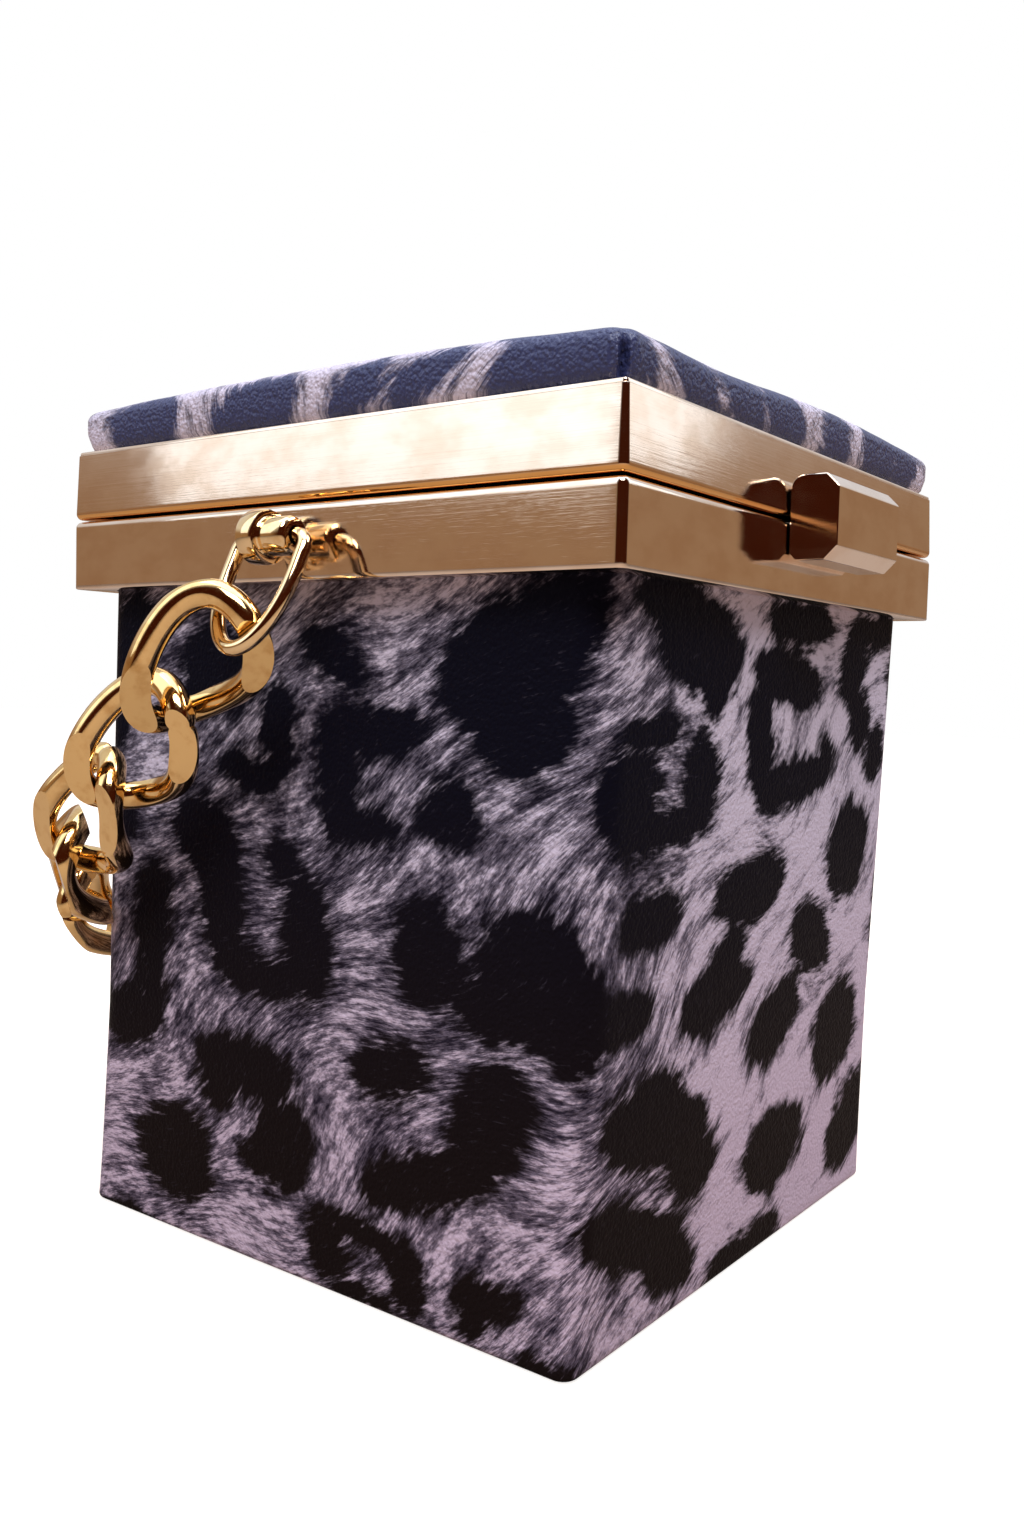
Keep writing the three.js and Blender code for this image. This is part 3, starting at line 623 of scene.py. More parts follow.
# Cover of the case, in rings from the base's middle outwards, up to the rim, over it and down the inside.
# Half width = half - inset (its base value at the foot, its top value at the rim) - the ring's own inset
def makeCoverBody():
    columns = roundedColumns(cover["cornerSteps"], np.arange(1, cover["sideSteps"]) / cover["sideSteps"])
    quarter = np.linspace(0, np.pi / 2, cover["footSteps"])
    baseIn = case["baseRadius"] * (1 - np.sin(quarter))
    baseUp = case["baseRadius"] * (1 - np.cos(quarter))
    sides = np.linspace(case["baseRadius"], case["height"], cover["rows"])[1:]
    wall, rim, rimLow = case["wall"], case["rim"], case["rim"] - cover["rimDrop"]
    z = np.concatenate([[0, 0, 0], baseUp, sides, [rimLow, rim, rim, rimLow],
                        cover["insideHeights"], [wall] * len(cover["floorInsets"])])
    extra = np.concatenate([cover["underInsets"], [case["baseRadius"] + cover["underEdge"]], baseIn,
                            0 * sides, [0, cover["rimRound"], wall - cover["rimRound"], wall],
                            wall + np.array(cover["insideInsets"] + cover["floorInsets"])])
    share = np.minimum(z / case["height"], 1)
    half = case["half"] - (case["insetBase"] + (case["insetTop"] - case["insetBase"]) * share) - extra
    blend = np.clip(z / cover["blendHeight"], 0, 1) ** cover["blendPower"]
    radius = case["footRadius"] + (case["cornerRadius"] - case["footRadius"]) * blend
    radius = np.clip(radius - extra / 2, cover["leastRadius"], None)
    lean = 1 - share
    rings = roundedRings(columns, half, half, radius, z, case["leanX"] * lean, case["leanY"] * lean)
    piece = skin("coverBody", softenSides(rings, z, extra), sharpAngle=60)
    u, spot = chartPlace(rings)
    u = np.append(u.ravel(), [0, 0])
    height = np.append(rings[..., 2].ravel(), [0, 0])
    paintPrint(piece, u, height, np.append(spot.ravel(), [20, 20]), height / case["height"])
    insideRows = len(cover["insideHeights"] + cover["floorInsets"])
    return piece, (len(z) - insideRows - 1) * len(columns[0])


# Place of each point round the cover, from the middle of the left face towards the front, right and back
def chartPlace(rings):
    x, y, z = rings[..., 0], rings[..., 1], rings[..., 2]
    scale = faceSpan / 2 / np.maximum(np.abs(x), np.abs(y))
    sideways = np.abs(x) >= np.abs(y)
    u = np.select([sideways & (x < 0), ~sideways & (y < 0), sideways],
                  [-y * scale, x * scale + faceSpan, y * scale + 2 * faceSpan], -x * scale + 3 * faceSpan)
    seen = leftSpots + [(u0 + faceSpan, *rest) for u0, *rest in frontSpots]
    seen += [(u0 + 4 * faceSpan, *rest) for u0, *rest in leftSpots if u0 < 0]
    # both hidden faces take the charted ones upside down, kept a gap away from the charted faces
    hidden = [(u0 + (2 + face) * faceSpan, case["height"] - z0, a, b, -turn)
              for face, spots in enumerate((leftSpots, frontSpots)) for u0, z0, a, b, turn in spots]
    into = np.minimum(u - 1.5 * faceSpan, 3.5 * faceSpan - u)
    pushed = spotDistance(u, z, hidden) + 2 * np.clip(cover["hiddenGap"] - into, 0, None)
    return u, np.minimum(spotDistance(u, z, seen), pushed)


# Cover pulled over its boards: swell = 0.35 (1 - t^2) sin(pi z / height), t from a face's middle line to its
# edge, and short level creases under the rail that fade away from the near corner
def softenSides(rings, z, extra):
    x, y, z = rings[..., 0], rings[..., 1], z[:, None]
    outside = (extra == 0)[:, None] & (z > case["baseRadius"])
    t = np.where(np.abs(x) > np.abs(y), y, x) / case["half"]
    swell = cover["swell"] * (1 - t ** 2) * np.sin(np.pi * np.clip(z / case["height"], 0, 1))
    nearCorner = np.exp(-((x + case["half"]) ** 2 + (y + case["half"]) ** 2) / cover["creaseReach"] ** 2)
    under = np.exp(-((z - cover["creaseHeight"]) / cover["creaseSpread"]) ** 2)
    waves = np.sin((z + cover["creaseTilt"] * (x + y)) * cover["creasePitch"])
    return pushOut(rings, np.where(outside, swell + cover["crease"] * waves * under * nearCorner, 0))


# Points moved straight away from the case's upright middle line
def pushOut(rings, far):
    size = np.hypot(rings[..., 0], rings[..., 1]) + 1e-6
    moved = rings.copy()
    moved[..., :2] += (far / size)[..., None] * rings[..., :2]
    return moved


# Spots on the lid: place round it from the middle of its left side, distance inwards from its foot, then as
# above. The sides carry dark blotches between light streaks, the top a looser scatter
lidSpots = [
    (-52, 4, 14, 6, 20), (-18, 3, 15, 6, 20), (12, 4, 9, 4, 30), (30, 5, 10, 4, 20), (64, 5, 18, 10, 0),
    (80, 5, 9, 6, -20), (100, 5, 9, 6, -20), (118, 5, 10, 7, -25), (145, 4, 9, 6, -40), (169, 5, 14, 7, -40),
    (189, 3, 8, 6, -30), (-60, 30, 16, 10, 10), (-25, 26, 13, 9, -20), (8, 30, 15, 11, 30),
    (40, 28, 12, 9, 0), (72, 30, 14, 10, 20), (104, 28, 14, 10, -15), (136, 31, 15, 10, 10),
    (168, 28, 13, 9, 30), (-40, 52, 16, 10, 20), (0, 55, 17, 10, 0), (45, 52, 15, 11, -10),
    (95, 53, 18, 11, 15), (150, 54, 18, 11, 0),
]
pad = {
    "inset": 1.0, "cornerRise": 8.7, "sideRise": 10.0, "crown": 12.8, "cornerRadius": 2.2, "roll": 2.8,
    "dip": 1.5, "dipPlace": -30.0, "dipLong": 30.0, "dipDeep": 14.0,
    "boardHalf": 60.9, "boardRadius": 3.0, "boardBase": 151.4, "base": 164.7, "foldOut": 0.6, "foldDown": 0.4,
    "footIn": 1.4, "sideLifts": [0.10, 0.28, 0.48, 0.68, 0.86],
    "bulge": 0.9, "bulgeTop": 0.9, "bulgeTurn": 0.62,
    "cornerSteps": 16, "sideSteps": 112, "rollSteps": 12, "topSteps": 44, "leastShare": 0.03,
    "tuck": 2.8, "tuckWidth": 0.9, "tuckReach": 5.0, "tuckFade": 0.75, "fadeFrom": 4.5, "fadeOver": 3.5,
    "gather": 0.22, "gatherPitch": 2.9, "gatherReach": 9.0, "ripple": 0.06, "rippleSize": 6.3, "calmAndLit": 0.85,
}


# Padded lid in rings: board below, a side that bulges a little, a rolled edge and a domed top
def makeLidPadding():
    share = (1 - np.cos(np.linspace(0, np.pi, pad["sideSteps"])[1:-1])) / 2
    columns = roundedColumns(pad["cornerSteps"], share)
    half, base, corner, roll = case["half"] - pad["inset"], pad["base"], pad["cornerRadius"], pad["roll"]
    rows = []

    # one ring; its height = low + share * (top of the pad there - drop - low)
    def addRing(size, radius, drop=0.0, low=0.0, share=1.0):
        ring = roundedRings(columns, size, size, radius, 0)
        top = railTop + padHeight(ring[..., 0], ring[..., 1], half) - drop
        ring[..., 2] = low + (top - low) * share
        rows.append(ring)

    addRing(pad["boardHalf"], pad["boardRadius"], low=pad["boardBase"], share=0)
    addRing(pad["boardHalf"], pad["boardRadius"], low=base - pad["foldDown"], share=0)
    addRing(pad["boardHalf"] + pad["foldOut"], pad["boardRadius"], low=base, share=0)
    addRing(half - pad["footIn"], corner, low=base, share=0)
    for lift in pad["sideLifts"]:
        swell = math.sin(math.pi * min(lift / pad["bulgeTop"], 1) * pad["bulgeTurn"])
        addRing(half - pad["bulge"] + pad["bulge"] * swell, corner, roll, base, lift / pad["sideLifts"][-1])
    for angle in np.linspace(0, np.pi / 2, pad["rollSteps"])[1:]:
        inwards = roll * (1 - np.cos(angle))
        addRing(half - inwards, corner + inwards * 0.5, roll * (1 - np.sin(angle)))
    for share in np.linspace(1, pad["leastShare"], pad["topSteps"])[1:]:
        addRing((half - roll) * share, (corner + roll * 0.5) * share)
    rings = np.concatenate(rows)
    piece = skin("lidPadding", tuckCorners(rings), sharpAngle=60)
    across, deep = lidPlane(rings)
    edge = half + pad["sideRise"]
    spots = [(inward - edge, -u, a, b, turn - 90) if u < faceSpan / 2
             else (u - faceSpan, inward - edge, a, b, turn) for u, inward, a, b, turn in lidSpots]
    spots += [(-x0, -y0, a, b, turn) for x0, y0, a, b, turn in spots]
    spot = spotDistance(across, deep, spots)
    across, deep, spot = (np.append(v.ravel(), [20, 20]) for v in (across, deep, spot))
    # the lid takes a high calm share: smoother hairs and painted light over the whole lid
    paintPrint(piece, across, deep, spot, np.full(len(spot), 1.0), -hairLooks["lean"], pad["calmAndLit"])
    return piece


# The lid's cover laid flat: a side continues the top outwards by how far it drops
def lidPlane(rings):
    x, y, z = rings[..., 0], rings[..., 1], rings[..., 2]
    reach = np.maximum(np.abs(x), np.abs(y)) + 1e-6
    drop = np.clip(pad["sideRise"] - (z - railTop), 0, pad["sideRise"] + 5)
    return x * (1 + drop / reach), y * (1 + drop / reach)


# Height over the rail = corner rise + (side rise - corner rise) (cx + cy) + (rest up to the crown) cx cy,
# with c = cos(pi u / 2), less a shallow dip at the front edge
def padHeight(x, y, half):
    cx = np.cos(np.pi / 2 * np.clip(x / half, -1, 1))
    cy = np.cos(np.pi / 2 * np.clip(y / half, -1, 1))
    side = pad["sideRise"] - pad["cornerRise"]
    away = ((x - pad["dipPlace"]) / pad["dipLong"]) ** 2 + ((y + half) / pad["dipDeep"]) ** 2
    low = pad["dip"] * np.exp(-away)
    return pad["cornerRise"] + side * (cx + cy) + (pad["crown"] - pad["sideRise"] - side) * cx * cy - low


# Mitre tuck at each corner: a groove down the diagonal, with fine gathers fading out on both sides
def tuckCorners(rings):
    x, y, z = rings[..., 0], rings[..., 1], rings[..., 2]
    off = np.abs(np.abs(x) - np.abs(y)) / math.sqrt(2)
    out = (case["half"] - pad["inset"]) * math.sqrt(2) - (np.abs(x) + np.abs(y)) / math.sqrt(2)
    high = np.clip((z - railTop - pad["fadeFrom"]) / pad["fadeOver"], 0, 1)
    near = np.exp(-(out / pad["tuckReach"]) ** 2) * (z > pad["base"] + 0.2) * (1 - pad["tuckFade"] * high)
    groove = -pad["tuck"] * np.exp(-(off / pad["tuckWidth"]) ** 2) * near
    gathers = pad["gather"] * np.sin(off * pad["gatherPitch"] + 0.8 * np.sin(z))
    gathers = gathers * np.exp(-(off / pad["gatherReach"]) ** 2) * near
    moved = pushOut(rings, groove + gathers)
    moved[..., 2] += pad["ripple"] * slowWaves(x, y, pad["rippleSize"]) * (z > pad["base"] + 1)
    return moved


# Rail: a closed section of (depth inwards, height) swept round the frame; seam edge rolled, far edge ledged
def makeRail(name, seam, up, lean):
    soft, edge, high, sheet = rail["seamRound"], rail["edgeRound"], rail["height"], rail["sheet"]
    channel, lip, skirt = rail["channelDepth"], rail["lipDepth"], rail["height"] - rail["skirtShort"]
    ledge = rail["ledge"] if up > 0 else 0
    turns = np.linspace(0, np.pi / 2, rail["rollSteps"])
    seamRoll = [(soft * (1 - math.sin(a)), soft * (1 - math.cos(a))) for a in turns]
    farEdge = [(0, soft + rail["flatIn"]), (0, high - rail["flatOut"])]
    farEdge += [(ledge * share, high - below) for share, below in rail["ledgeShape"]] if ledge else []
    farEdge += [(ledge, high - edge), (ledge + edge * 0.3, high - edge * 0.3), (ledge + edge, high)]
    inside = [(lip, high), (lip, high - sheet), (sheet, high - sheet), (sheet, sheet),
              (channel - sheet, sheet), (channel - sheet, skirt), (channel, skirt), (channel, 0)]
    depth, height = np.array(seamRoll + farEdge + inside, float).T
    outside = np.arange(len(depth)) < len(seamRoll + farEdge)
    depth = depth + outside * lean * height / high
    inner = case["cornerRadius"] + case["insetTop"] - depth
    radius = np.where(depth < lip - 0.3, np.maximum(rail["cornerRadius"] - depth, rail["leastRadius"]), inner)
    columns = roundedColumns(rail["cornerSteps"], np.arange(1, rail["sideSteps"]) / rail["sideSteps"])
    half = case["half"] - depth
    rings = roundedRings(columns, half, half, radius, seam + up * height)
    piece = skin(name, rings, closeRows=True)
    faceOut(piece)
    return piece


hinge = {
    "pin": 2.4, "wall": 1.3, "length": 8.0, "count": 5, "standOff": 0.5, "clearance": 0.3, "head": 1.2,
    "soft": 0.25, "pinSoft": 0.4,
    "leafIn": 0.5, "leafLow": 0.4, "leafUp": 0.6, "leafGap": 0.2, "leafTop": 0.4,
}
hingeY = case["half"] + hinge["pin"] / 2 + hinge["clearance"] + hinge["wall"] + hinge["standOff"]
hingeZ = seamLow + rail["seamGap"] / 2
hingeRadius = hinge["pin"] / 2 + hinge["clearance"] + hinge["wall"]


# Knuckles of one half with the leaf that joins them to the rail
def makeKnuckles(name, parity, up):
    parts = []
    bore = hinge["pin"] / 2 + hinge["clearance"]
    soft = hinge["soft"]
    near, far = hingeZ + up * hinge["leafLow"], hingeZ + up * hingeRadius
    inner, outer = case["half"] - hinge["leafIn"], hingeY - bore - hinge["leafGap"]
    outline = [(inner, near), (outer, near), (outer, near + up * hinge["leafUp"]),
               (hingeY - hinge["leafTop"], far - up * 0.02), (inner, far)]
    for k in range(parity, hinge["count"], 2):
        x0 = (k - hinge["count"] / 2) * hinge["length"] + hinge["clearance"] / 2
        x1 = x0 + hinge["length"] - hinge["clearance"]
        profile = [(x0, bore), (x0, hingeRadius - soft), (x0 + soft, hingeRadius),
                   (x1 - soft, hingeRadius), (x1, hingeRadius - soft), (x1, bore)]
        parts.append(turned(name + "Barrel", profile, (0, hingeY, hingeZ), "x", 36, closeRows=True))
        parts.append(barAlongX(name + "Leaf", outline, x0, x1))
    return joinPieces(name, parts)


# Plain rod along X between two ends, with its edges broken
def makeRod(name, x0, x1, radius, soft, centre, sides):
    profile = [(x0, 0), (x0, radius - soft), (x0 + soft, radius),
               (x1 - soft, radius), (x1, radius - soft), (x1, 0)]
    return turned(name, profile, centre, "x", sides)


def makeHingePin():
    end = hinge["count"] * hinge["length"] / 2 + hinge["head"]
    return makeRod("hingeRod", -end, end, hinge["pin"] / 2, hinge["pinSoft"], (0, hingeY, hingeZ), 28)


# Chain
link = {
    "wire": 5.6, "width": 24.6, "flat": 8.2, "gap": 0.85, "lift": 3.914, "steps": 120, "sides": 28,
    "joint": 50, "notch": 0.45, "notchSpread": 0.8, "bevel": 0.22,
}


# One curb link in its own axes: oval of (a cos t, b sin t, -c sin 2t), faces ground flat, a fine joint across
def makeLinkShape(pitch):
    step = np.arange(link["steps"])
    t = (step + 0.5) / link["steps"] * 2 * np.pi
    reach, spread = (pitch + link["wire"] + link["gap"]) / 2, (link["width"] - link["wire"]) / 2
    path = np.column_stack([reach * np.cos(t), spread * np.sin(t), -link["lift"] * np.sin(2 * t)])
    groove = link["notch"] * np.exp(-(step - link["joint"]) ** 2 / link["notchSpread"])
    rings = tubeRings(path, link["wire"] / 2 - groove, link["sides"], np.array([[0, 0, 1.0]]))
    work = bmesh.new()
    verts = [work.verts.new(p) for p in rings.reshape(-1, 3)]
    for f in gridFaces(link["steps"], link["sides"], True):
        work.faces.new([verts[k] for k in f])
    work.faces.index_update()
    for side in (1, -1):  # the cap that fills each cut is given the second material
        cutAll = bmesh.ops.bisect_plane(
            work, geom=work.verts[:] + work.edges[:] + work.faces[:], dist=1e-5,
            plane_co=(0, 0, side * link["flat"] / 2), plane_no=(0, 0, side), clear_outer=True)
        rim = [e for e in cutAll["geom_cut"] if isinstance(e, bmesh.types.BMEdge)]
        filled = bmesh.ops.edgeloop_fill(work, edges=rim)
        for f in filled["faces"]:
            f.material_index = 1
    bmesh.ops.recalc_face_normals(work, faces=work.faces)
    return work


# The link's place is read from its node: principal directions of its points, longest first
def linkAxes(node):
    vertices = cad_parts[node].data.vertices
    points = np.empty(len(vertices) * 3)
    vertices.foreach_get("co", points)
    points = np.unique(np.round(points.reshape(-1, 3) / mm, 4), axis=0)
    centre = points.mean(0)
    _, _, axes = np.linalg.svd(points - centre, full_matrices=False)
    if np.linalg.det(axes) < 0:
        axes[2] *= -1
    return centre, axes


def makeLinks():
    names = sorted(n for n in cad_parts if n.startswith("chain_link"))
    places = [linkAxes(name) for name in names]
    pitch = np.mean([np.linalg.norm(a[0] - b[0]) for a, b in zip(places, places[1:])])
    shape = makeLinkShape(pitch)
    for name, (centre, axes) in zip(names, places):
        mesh = bpy.data.meshes.new("curb" + name[-2:])
        shape.to_mesh(mesh)
        local = np.empty(len(mesh.vertices) * 3)
        mesh.vertices.foreach_get("co", local)
        world = local.reshape(-1, 3) @ axes + centre
        mesh.vertices.foreach_set("co", (world * mm).ravel())
        mesh.update()
        smoothMesh(mesh, 30)
        piece = addObject("curbLink" + name[-2:], mesh)
        roundEdges(piece, link["bevel"], 2, 28)
        place(piece, "bag", "warm_gold", chainMetal, name)
        piece.data.materials.append(groundMetal)
    shape.free()


ring = {
    "wire": 2.9, "halfWidth": 8.6, "drop": 22.8, "bend": 2.9, "taper": 15.0, "swing": 25.0,
    "barSteps": 13, "bendSteps": 9, "armSteps": 4, "bowSteps": 49, "sides": 20,
}
lug = {
    "standOff": 5.6, "height": 142.5, "shift": 1.2, "bore": 3.6, "barrel": 7.2, "barrelLength": 6.4,
    "collar": 10.2, "collarLength": 4.4, "neck": 0.25,
    "stem": 3.4, "stemIn": 0.8, "head": 6.0, "headThickness": 1.1,
    # rounded ends as (distance along, distance below) pairs
    "barrelRound": [(0, 0.9), (0.25, 0.35), (0.8, 0)], "collarRound": [(0, 0.7), (0.2, 0.2), (0.7, 0)],
}


# Stirrup ring: bar, bends and arms, then a half ellipse, drawn flat and swung outwards about its bar
def makeRing(side):
    wide, bent = ring["halfWidth"], ring["bend"]
    barHalf = wide - bent
    armEnd = ring["drop"] - ring["taper"]
    bar = np.column_stack([np.linspace(-barHalf, barHalf, ring["barSteps"]), np.zeros(ring["barSteps"])])
    a = np.linspace(0, np.pi / 2, ring["bendSteps"])[1:]
    bend = np.column_stack([barHalf + bent * np.sin(a), -bent * (1 - np.cos(a))])
    drops = np.linspace(-bent, -armEnd, ring["armSteps"] + 2)[1:-1]
    arm = np.column_stack([np.full(ring["armSteps"], wide), drops])
    b = np.linspace(0, np.pi, ring["bowSteps"])
    bow = np.column_stack([wide * np.cos(b), -armEnd - ring["taper"] * np.sin(b)])
    mirror = np.array([-1, 1])
    flat = np.vstack([bar, bend, arm, bow, (arm * mirror)[::-1], (bend * mirror)[::-1]])
    swing = math.radians(ring["swing"])
    outwards = np.array([-math.cos(swing), 0, math.sin(swing)])
    down = np.array([-math.sin(swing), 0, -math.cos(swing)])
    origin = np.array([-case["half"] - lug["standOff"], lug["shift"], lug["height"]])
    path = origin + flat[:, :1] * np.array([0, 1, 0]) - flat[:, 1:] * down
    rings = tubeRings(path, ring["wire"] / 2, ring["sides"], outwards[None])
    rings[..., 0] *= -side
    piece = skin("stirrupRing" + ("Right" if side > 0 else "Left"), rings, closeRows=True)
    faceOut(piece)
    return piece


# Lug: barrel and collar turned about Y with a bore for the ring, and its stem through the rail
def makeLug(side):
    label = "Right" if side > 0 else "Left"
    start = lug["shift"] - (lug["barrelLength"] + lug["collarLength"]) / 2
    step = start + lug["barrelLength"]
    end = step + lug["collarLength"]
    bore, barrel, collar = lug["bore"] / 2, lug["barrel"] / 2, lug["collar"] / 2
    profile = [(start, bore)] + [(start + a, barrel - b) for a, b in lug["barrelRound"]]
    profile += [(step - lug["neck"], barrel), (step, barrel + lug["neck"])]
    profile += [(step + a, collar - b) for a, b in lug["collarRound"]]
    profile += [(end - a, collar - b) for a, b in lug["collarRound"][::-1]] + [(end, bore)]
    x = side * (case["half"] + lug["standOff"])
    barrelPiece = turned("lugBarrel" + label, profile, (x, 0, lug["height"]), "y", 48, closeRows=True)
    middle = (step + end) / 2
    near = case["half"] + lug["standOff"] - collar + lug["stemIn"]
    inner = case["half"] - rail["sheet"] - hinge["clearance"]
    stem, head, thick = lug["stem"] / 2, lug["head"] / 2, lug["headThickness"]
    pin = [(side * near, 0), (side * near, stem), (side * inner, stem), (side * inner, head - 0.2),
           (side * (inner - 0.2), head), (side * (inner - thick), head - 0.3), (side * (inner - thick), 0)]
    stemPiece = turned("lugStem" + label, pin, (0, middle, lug["height"]), "x", 32)
    return joinPieces("chainLug" + label, [barrelPiece, stemPiece])


clasp = {
    "height": 16.2, "shift": 4.5, "pin": 1.8, "pinWall": 1.5, "pinEnds": (-9.5, 18.7), "pinSoft": 0.2,
    "earWidth": 2.4, "earSpacing": 16.0, "earShort": 0.7, "earRoot": 0.6, "clearance": 0.3,
    "barBevel": 0.32, "magnetBevel": 0.25,
}
claspBack = -case["half"] - clasp["clearance"]
claspTop = hingeZ + clasp["height"] / 2
claspTurn = clasp["pin"] / 2 + clasp["clearance"] + clasp["pinWall"]
claspPinY, claspPinZ = claspBack - claspTurn, claspTop - claspTurn


# Ears on the upper rail: a half round end about the pin, carried back into the rail
def makeEars():
    earRadius = claspTurn - clasp["earShort"]
    root = -case["half"] + clasp["earRoot"]
    outline = [(root, claspPinZ - earRadius), (root, claspPinZ + earRadius)]
    outline += [(claspPinY + earRadius * math.cos(a), claspPinZ + earRadius * math.sin(a))
                for a in np.linspace(np.pi / 2, np.pi * 1.5, 15)]
    middles = [clasp["shift"] + side * clasp["earSpacing"] / 2 for side in (-1, 1)]
    wide = clasp["earWidth"] / 2
    return joinPieces("claspEars", [barAlongX("claspEar", outline, x - wide, x + wide) for x in middles])


def makeClaspPin():
    low, high = clasp["pinEnds"]
    return makeRod("claspRod", low, high, clasp["pin"] / 2, clasp["pinSoft"], (0, claspPinY, claspPinZ), 24)


# Stage and camera: place in mm, turns in degrees, focal length in pixels of a picture of the given height
cameraLook = {
    "focal": 1305.2, "yaw": 53.685, "pitch": 3.422, "roll": 1.551, "place": (-243.0, -177.0, 115.75),
    "sensor": 36.0, "pictureHeight": 1536,
}


def aim(item, right, up, back, position):
    turn = np.eye(4)
    turn[:3, 0], turn[:3, 1], turn[:3, 2], turn[:3, 3] = right, up, back, position
    item.matrix_world = Matrix(turn)


def makeCamera():
    yaw, pitch, roll = (math.radians(cameraLook[k]) for k in ("yaw", "pitch", "roll"))
    ahead = np.array([math.sin(yaw), math.cos(yaw), 0.0])
    right = np.array([math.cos(yaw), -math.sin(yaw), 0.0])
    up = np.array([0.0, 0.0, 1.0])
    ahead, up = ahead * math.cos(pitch) - up * math.sin(pitch), up * math.cos(pitch) + ahead * math.sin(pitch)
    right, up = right * math.cos(roll) + up * math.sin(roll), up * math.cos(roll) - right * math.sin(roll)
    data = bpy.data.cameras.new("viewCamera")
    data.sensor_fit = "VERTICAL"
    data.sensor_height = cameraLook["sensor"]
    data.lens = cameraLook["sensor"] * cameraLook["focal"] / cameraLook["pictureHeight"]
    data.clip_start = 0.01
    camera = addObject("viewCamera", data)
    aim(camera, right, up, -ahead, np.array(cameraLook["place"]) * mm)
    bpy.context.scene.camera = camera


lights = [
    # name, azimuth and height seen from the bag (degrees), distance, width and height (m), power, colour
    ("leftWindow", 142, 42, 1.3, 0.68, 1.55, 4.0, (0.74, 0.865, 1.0)),
    ("rightWindow", -45, 43, 1.3, 0.74, 1.45, 3.5, (0.75, 0.87, 1.0)),
    ("topPanel", 0, 89, 1.0, 0.9, 0.9, 6.2, (0.66, 0.79, 1.0)),
    ("frontFill", -140, 52, 1.5, 0.9, 0.5, 24, (0.95, 0.96, 1.0)),
]


def makeLights():
    target = np.array([0, 0, 0.11])
    for name, azimuth, height, far, wide, tall, power, colour in lights:
        data = bpy.data.lights.new(name, "AREA")
        data.shape = "RECTANGLE"
        data.size, data.size_y = wide, tall
        data.energy = power
        data.color = colour
        a, h = math.radians(azimuth), math.radians(height)
        back = np.array([math.cos(a) * math.cos(h), math.sin(a) * math.cos(h), math.sin(h)])
        side = np.cross([0, 0, 1.0], back)
        side /= np.linalg.norm(side)
        aim(addObject(name, data), side, np.cross(back, side), back, target + back * far)


roomLooks = {
    "low": (0.33, 0.205, 0.12, 1), "high": (0.76, 0.76, 0.80, 1), "rise": (0.15, 0.38),
    "dim": (0.045, 0.009, 0.003, 1), "dimTowards": (-0.669, -0.743), "dimFade": (0.2, 0.5),
    "floorHalf": 4000.0, "floorTones": ((0.36, 0.27, 0.21, 1), (0.39, 0.30, 0.24, 1)),
    "floorWhite": (0.11, 0.26, 0.76, 1.05),  # two distances in m, then the floor's glow at each
}


# World: white where the camera looks; in reflections a warm low room under a pale one, dim behind the camera
def makeWorld():
    world = bpy.data.worlds.new("paleRoom")
    bpy.context.scene.world = world
    world.use_nodes = True
    nodes, links = world.node_tree.nodes, world.node_tree.links
    nodes.clear()
    outlet = nodes.new("ShaderNodeOutputWorld")
    seen = addNode(nodes, "Background")
    seen.inputs["Color"].default_value = (1, 1, 1, 1)
    room = addNode(nodes, "Background")
    way = addNode(nodes, "TexCoord").outputs["Generated"]
    parts = addNode(nodes, "SeparateXYZ")
    links.new(way, parts.inputs[0])
    towardsX, towardsY = roomLooks["dimTowards"]
    behind = maths(nodes, links, "MULTIPLY_ADD", parts.outputs["X"], towardsX,
                   maths(nodes, links, "MULTIPLY", parts.outputs["Y"], towardsY))
    dim = fade(nodes, links, behind, *roomLooks["dimFade"])
    rise = fade(nodes, links, parts.outputs["Z"], *roomLooks["rise"])
    colour = mixColour(nodes, links, rise, roomLooks["low"], roomLooks["high"])
    links.new(mixColour(nodes, links, dim, colour, roomLooks["dim"]), room.inputs["Color"])
    rays = addNode(nodes, "LightPath")
    choose = addNode(nodes, "MixShader")
    links.new(rays.outputs["Is Camera Ray"], choose.inputs[0])
    links.new(room.outputs[0], choose.inputs[1])
    links.new(seen.outputs[0], choose.inputs[2])
    links.new(choose.outputs[0], outlet.inputs["Surface"])


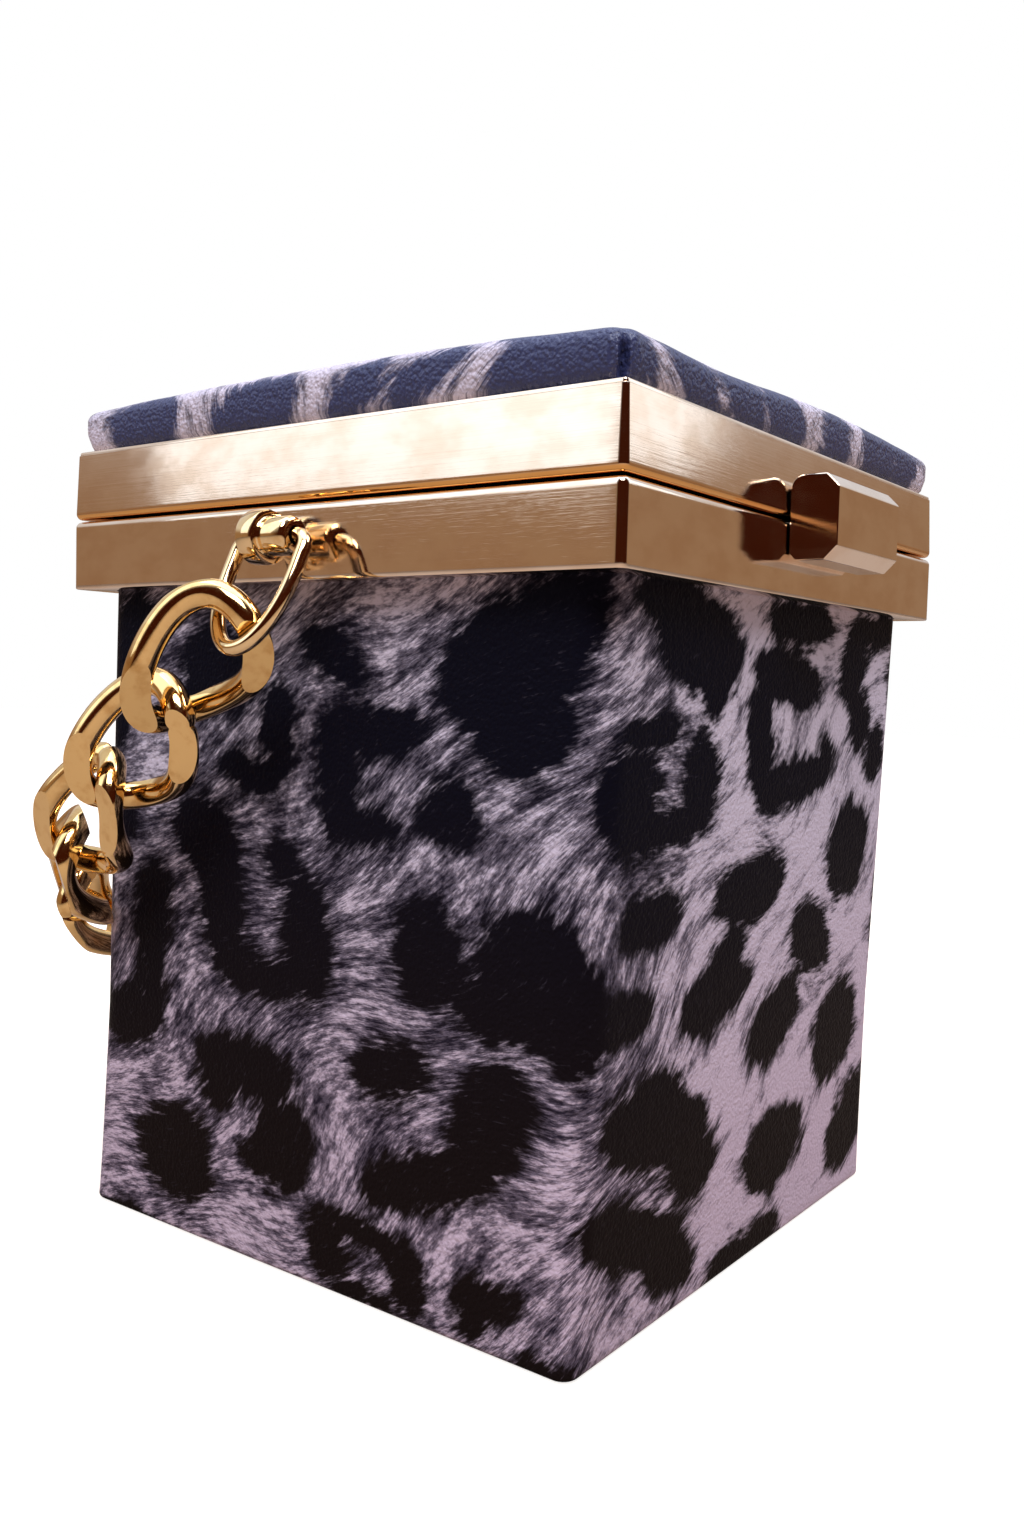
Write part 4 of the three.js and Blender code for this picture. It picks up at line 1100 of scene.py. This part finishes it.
# Floor: pale and warm, and it glows up to white away from the bag where the camera sees it
def makeFloor():
    size = roomLooks["floorHalf"]
    corners = [(-size, -size, 0), (size, -size, 0), (size, size, 0), (-size, size, 0)]
    floor = makeMesh("paleFloor", corners, [(0, 1, 2, 3)])
    material, nodes, links, shader = newMaterial("paleFloor", **{"Roughness": 0.7, "Specular IOR Level": 0.2})
    here = addNode(nodes, "TexCoord").outputs["Object"]
    soft = noise(nodes, links, here, 3.0, 2)
    links.new(mixColour(nodes, links, soft, *roomLooks["floorTones"]), shader.inputs["Base Color"])
    away = addNode(nodes, "VectorMath", operation="LENGTH")
    links.new(here, away.inputs[0])
    pale = fade(nodes, links, away.outputs["Value"], *roomLooks["floorWhite"])
    shader.inputs["Emission Color"].default_value = (1, 1, 1, 1)
    rays = addNode(nodes, "LightPath")
    glow = maths(nodes, links, "MULTIPLY", rays.outputs["Is Camera Ray"], pale)
    links.new(glow, shader.inputs["Emission Strength"])
    floor.data.materials.append(material)


# Lining on the faces past a point of the skin that lie above one height and below another, in mm
def lineInside(piece, fromPoint=0, above=-1.0, below=1000.0):
    piece.data.materials.append(lining)
    for face in piece.data.polygons:
        heights = [piece.data.vertices[v].co.z / mm for v in face.vertices]
        if min(face.vertices) >= fromPoint and heights[0] > above and max(heights) < below:
            face.material_index = 1


bpy.context.scene.view_settings.view_transform = "Standard"
makeCamera()
makeWorld()
makeLights()
makeFloor()
print("stage ready")

coverBody, insideFrom = makeCoverBody()
place(coverBody, "bag", "printed_cover", coverPrint, "body_shell")
lineInside(coverBody, fromPoint=insideFrom, above=1.0)
print("cover made")

lidPadding = makeLidPadding()
place(lidPadding, "lid", "printed_cover", lidPrint, "lid_pad")
lineInside(lidPadding, below=pad["base"] - pad["foldDown"] + 0.1)
print("lid padding made")

place(makeRail("lowerRail", seamLow, -1, 0.0), "bag", "pale_gold", railMetal, "lower_frame")
place(makeRail("upperRail", seamHigh, 1, rail["upperLean"]), "lid", "pale_gold", railMetal, "upper_frame")
place(makeKnuckles("lowerKnuckles", 0, -1), "bag", "pale_gold", railMetal, "lower_frame")
place(makeKnuckles("upperKnuckles", 1, 1), "lid", "pale_gold", railMetal, "upper_frame")
place(makeEars(), "lid", "pale_gold", railMetal, "upper_frame")
place(makeHingePin(), "bag", "pale_gold", railMetal, "hinge_pin")
print("rails and hinge made")

claspBar = finerCopy("clasp_lever", "claspBar", clasp["barBevel"])
claspCatch = finerCopy("clasp_magnet", "claspCatch", clasp["magnetBevel"])
place(claspBar, "clasp", "pale_gold", claspMetal, "clasp_lever")
place(claspCatch, "clasp", "dark_magnet", magnetMetal, "clasp_magnet")
place(makeClaspPin(), "clasp", "pale_gold", claspMetal, "clasp_pin")
print("clasp made")

for side, label in ((-1, "left"), (1, "right")):
    place(makeRing(side), "bag", "warm_gold", ringMetal, "chain_ring_" + label)
    place(makeLug(side), "bag", "warm_gold", ringMetal, "chain_lug_" + label)
makeLinks()
print("chain made")
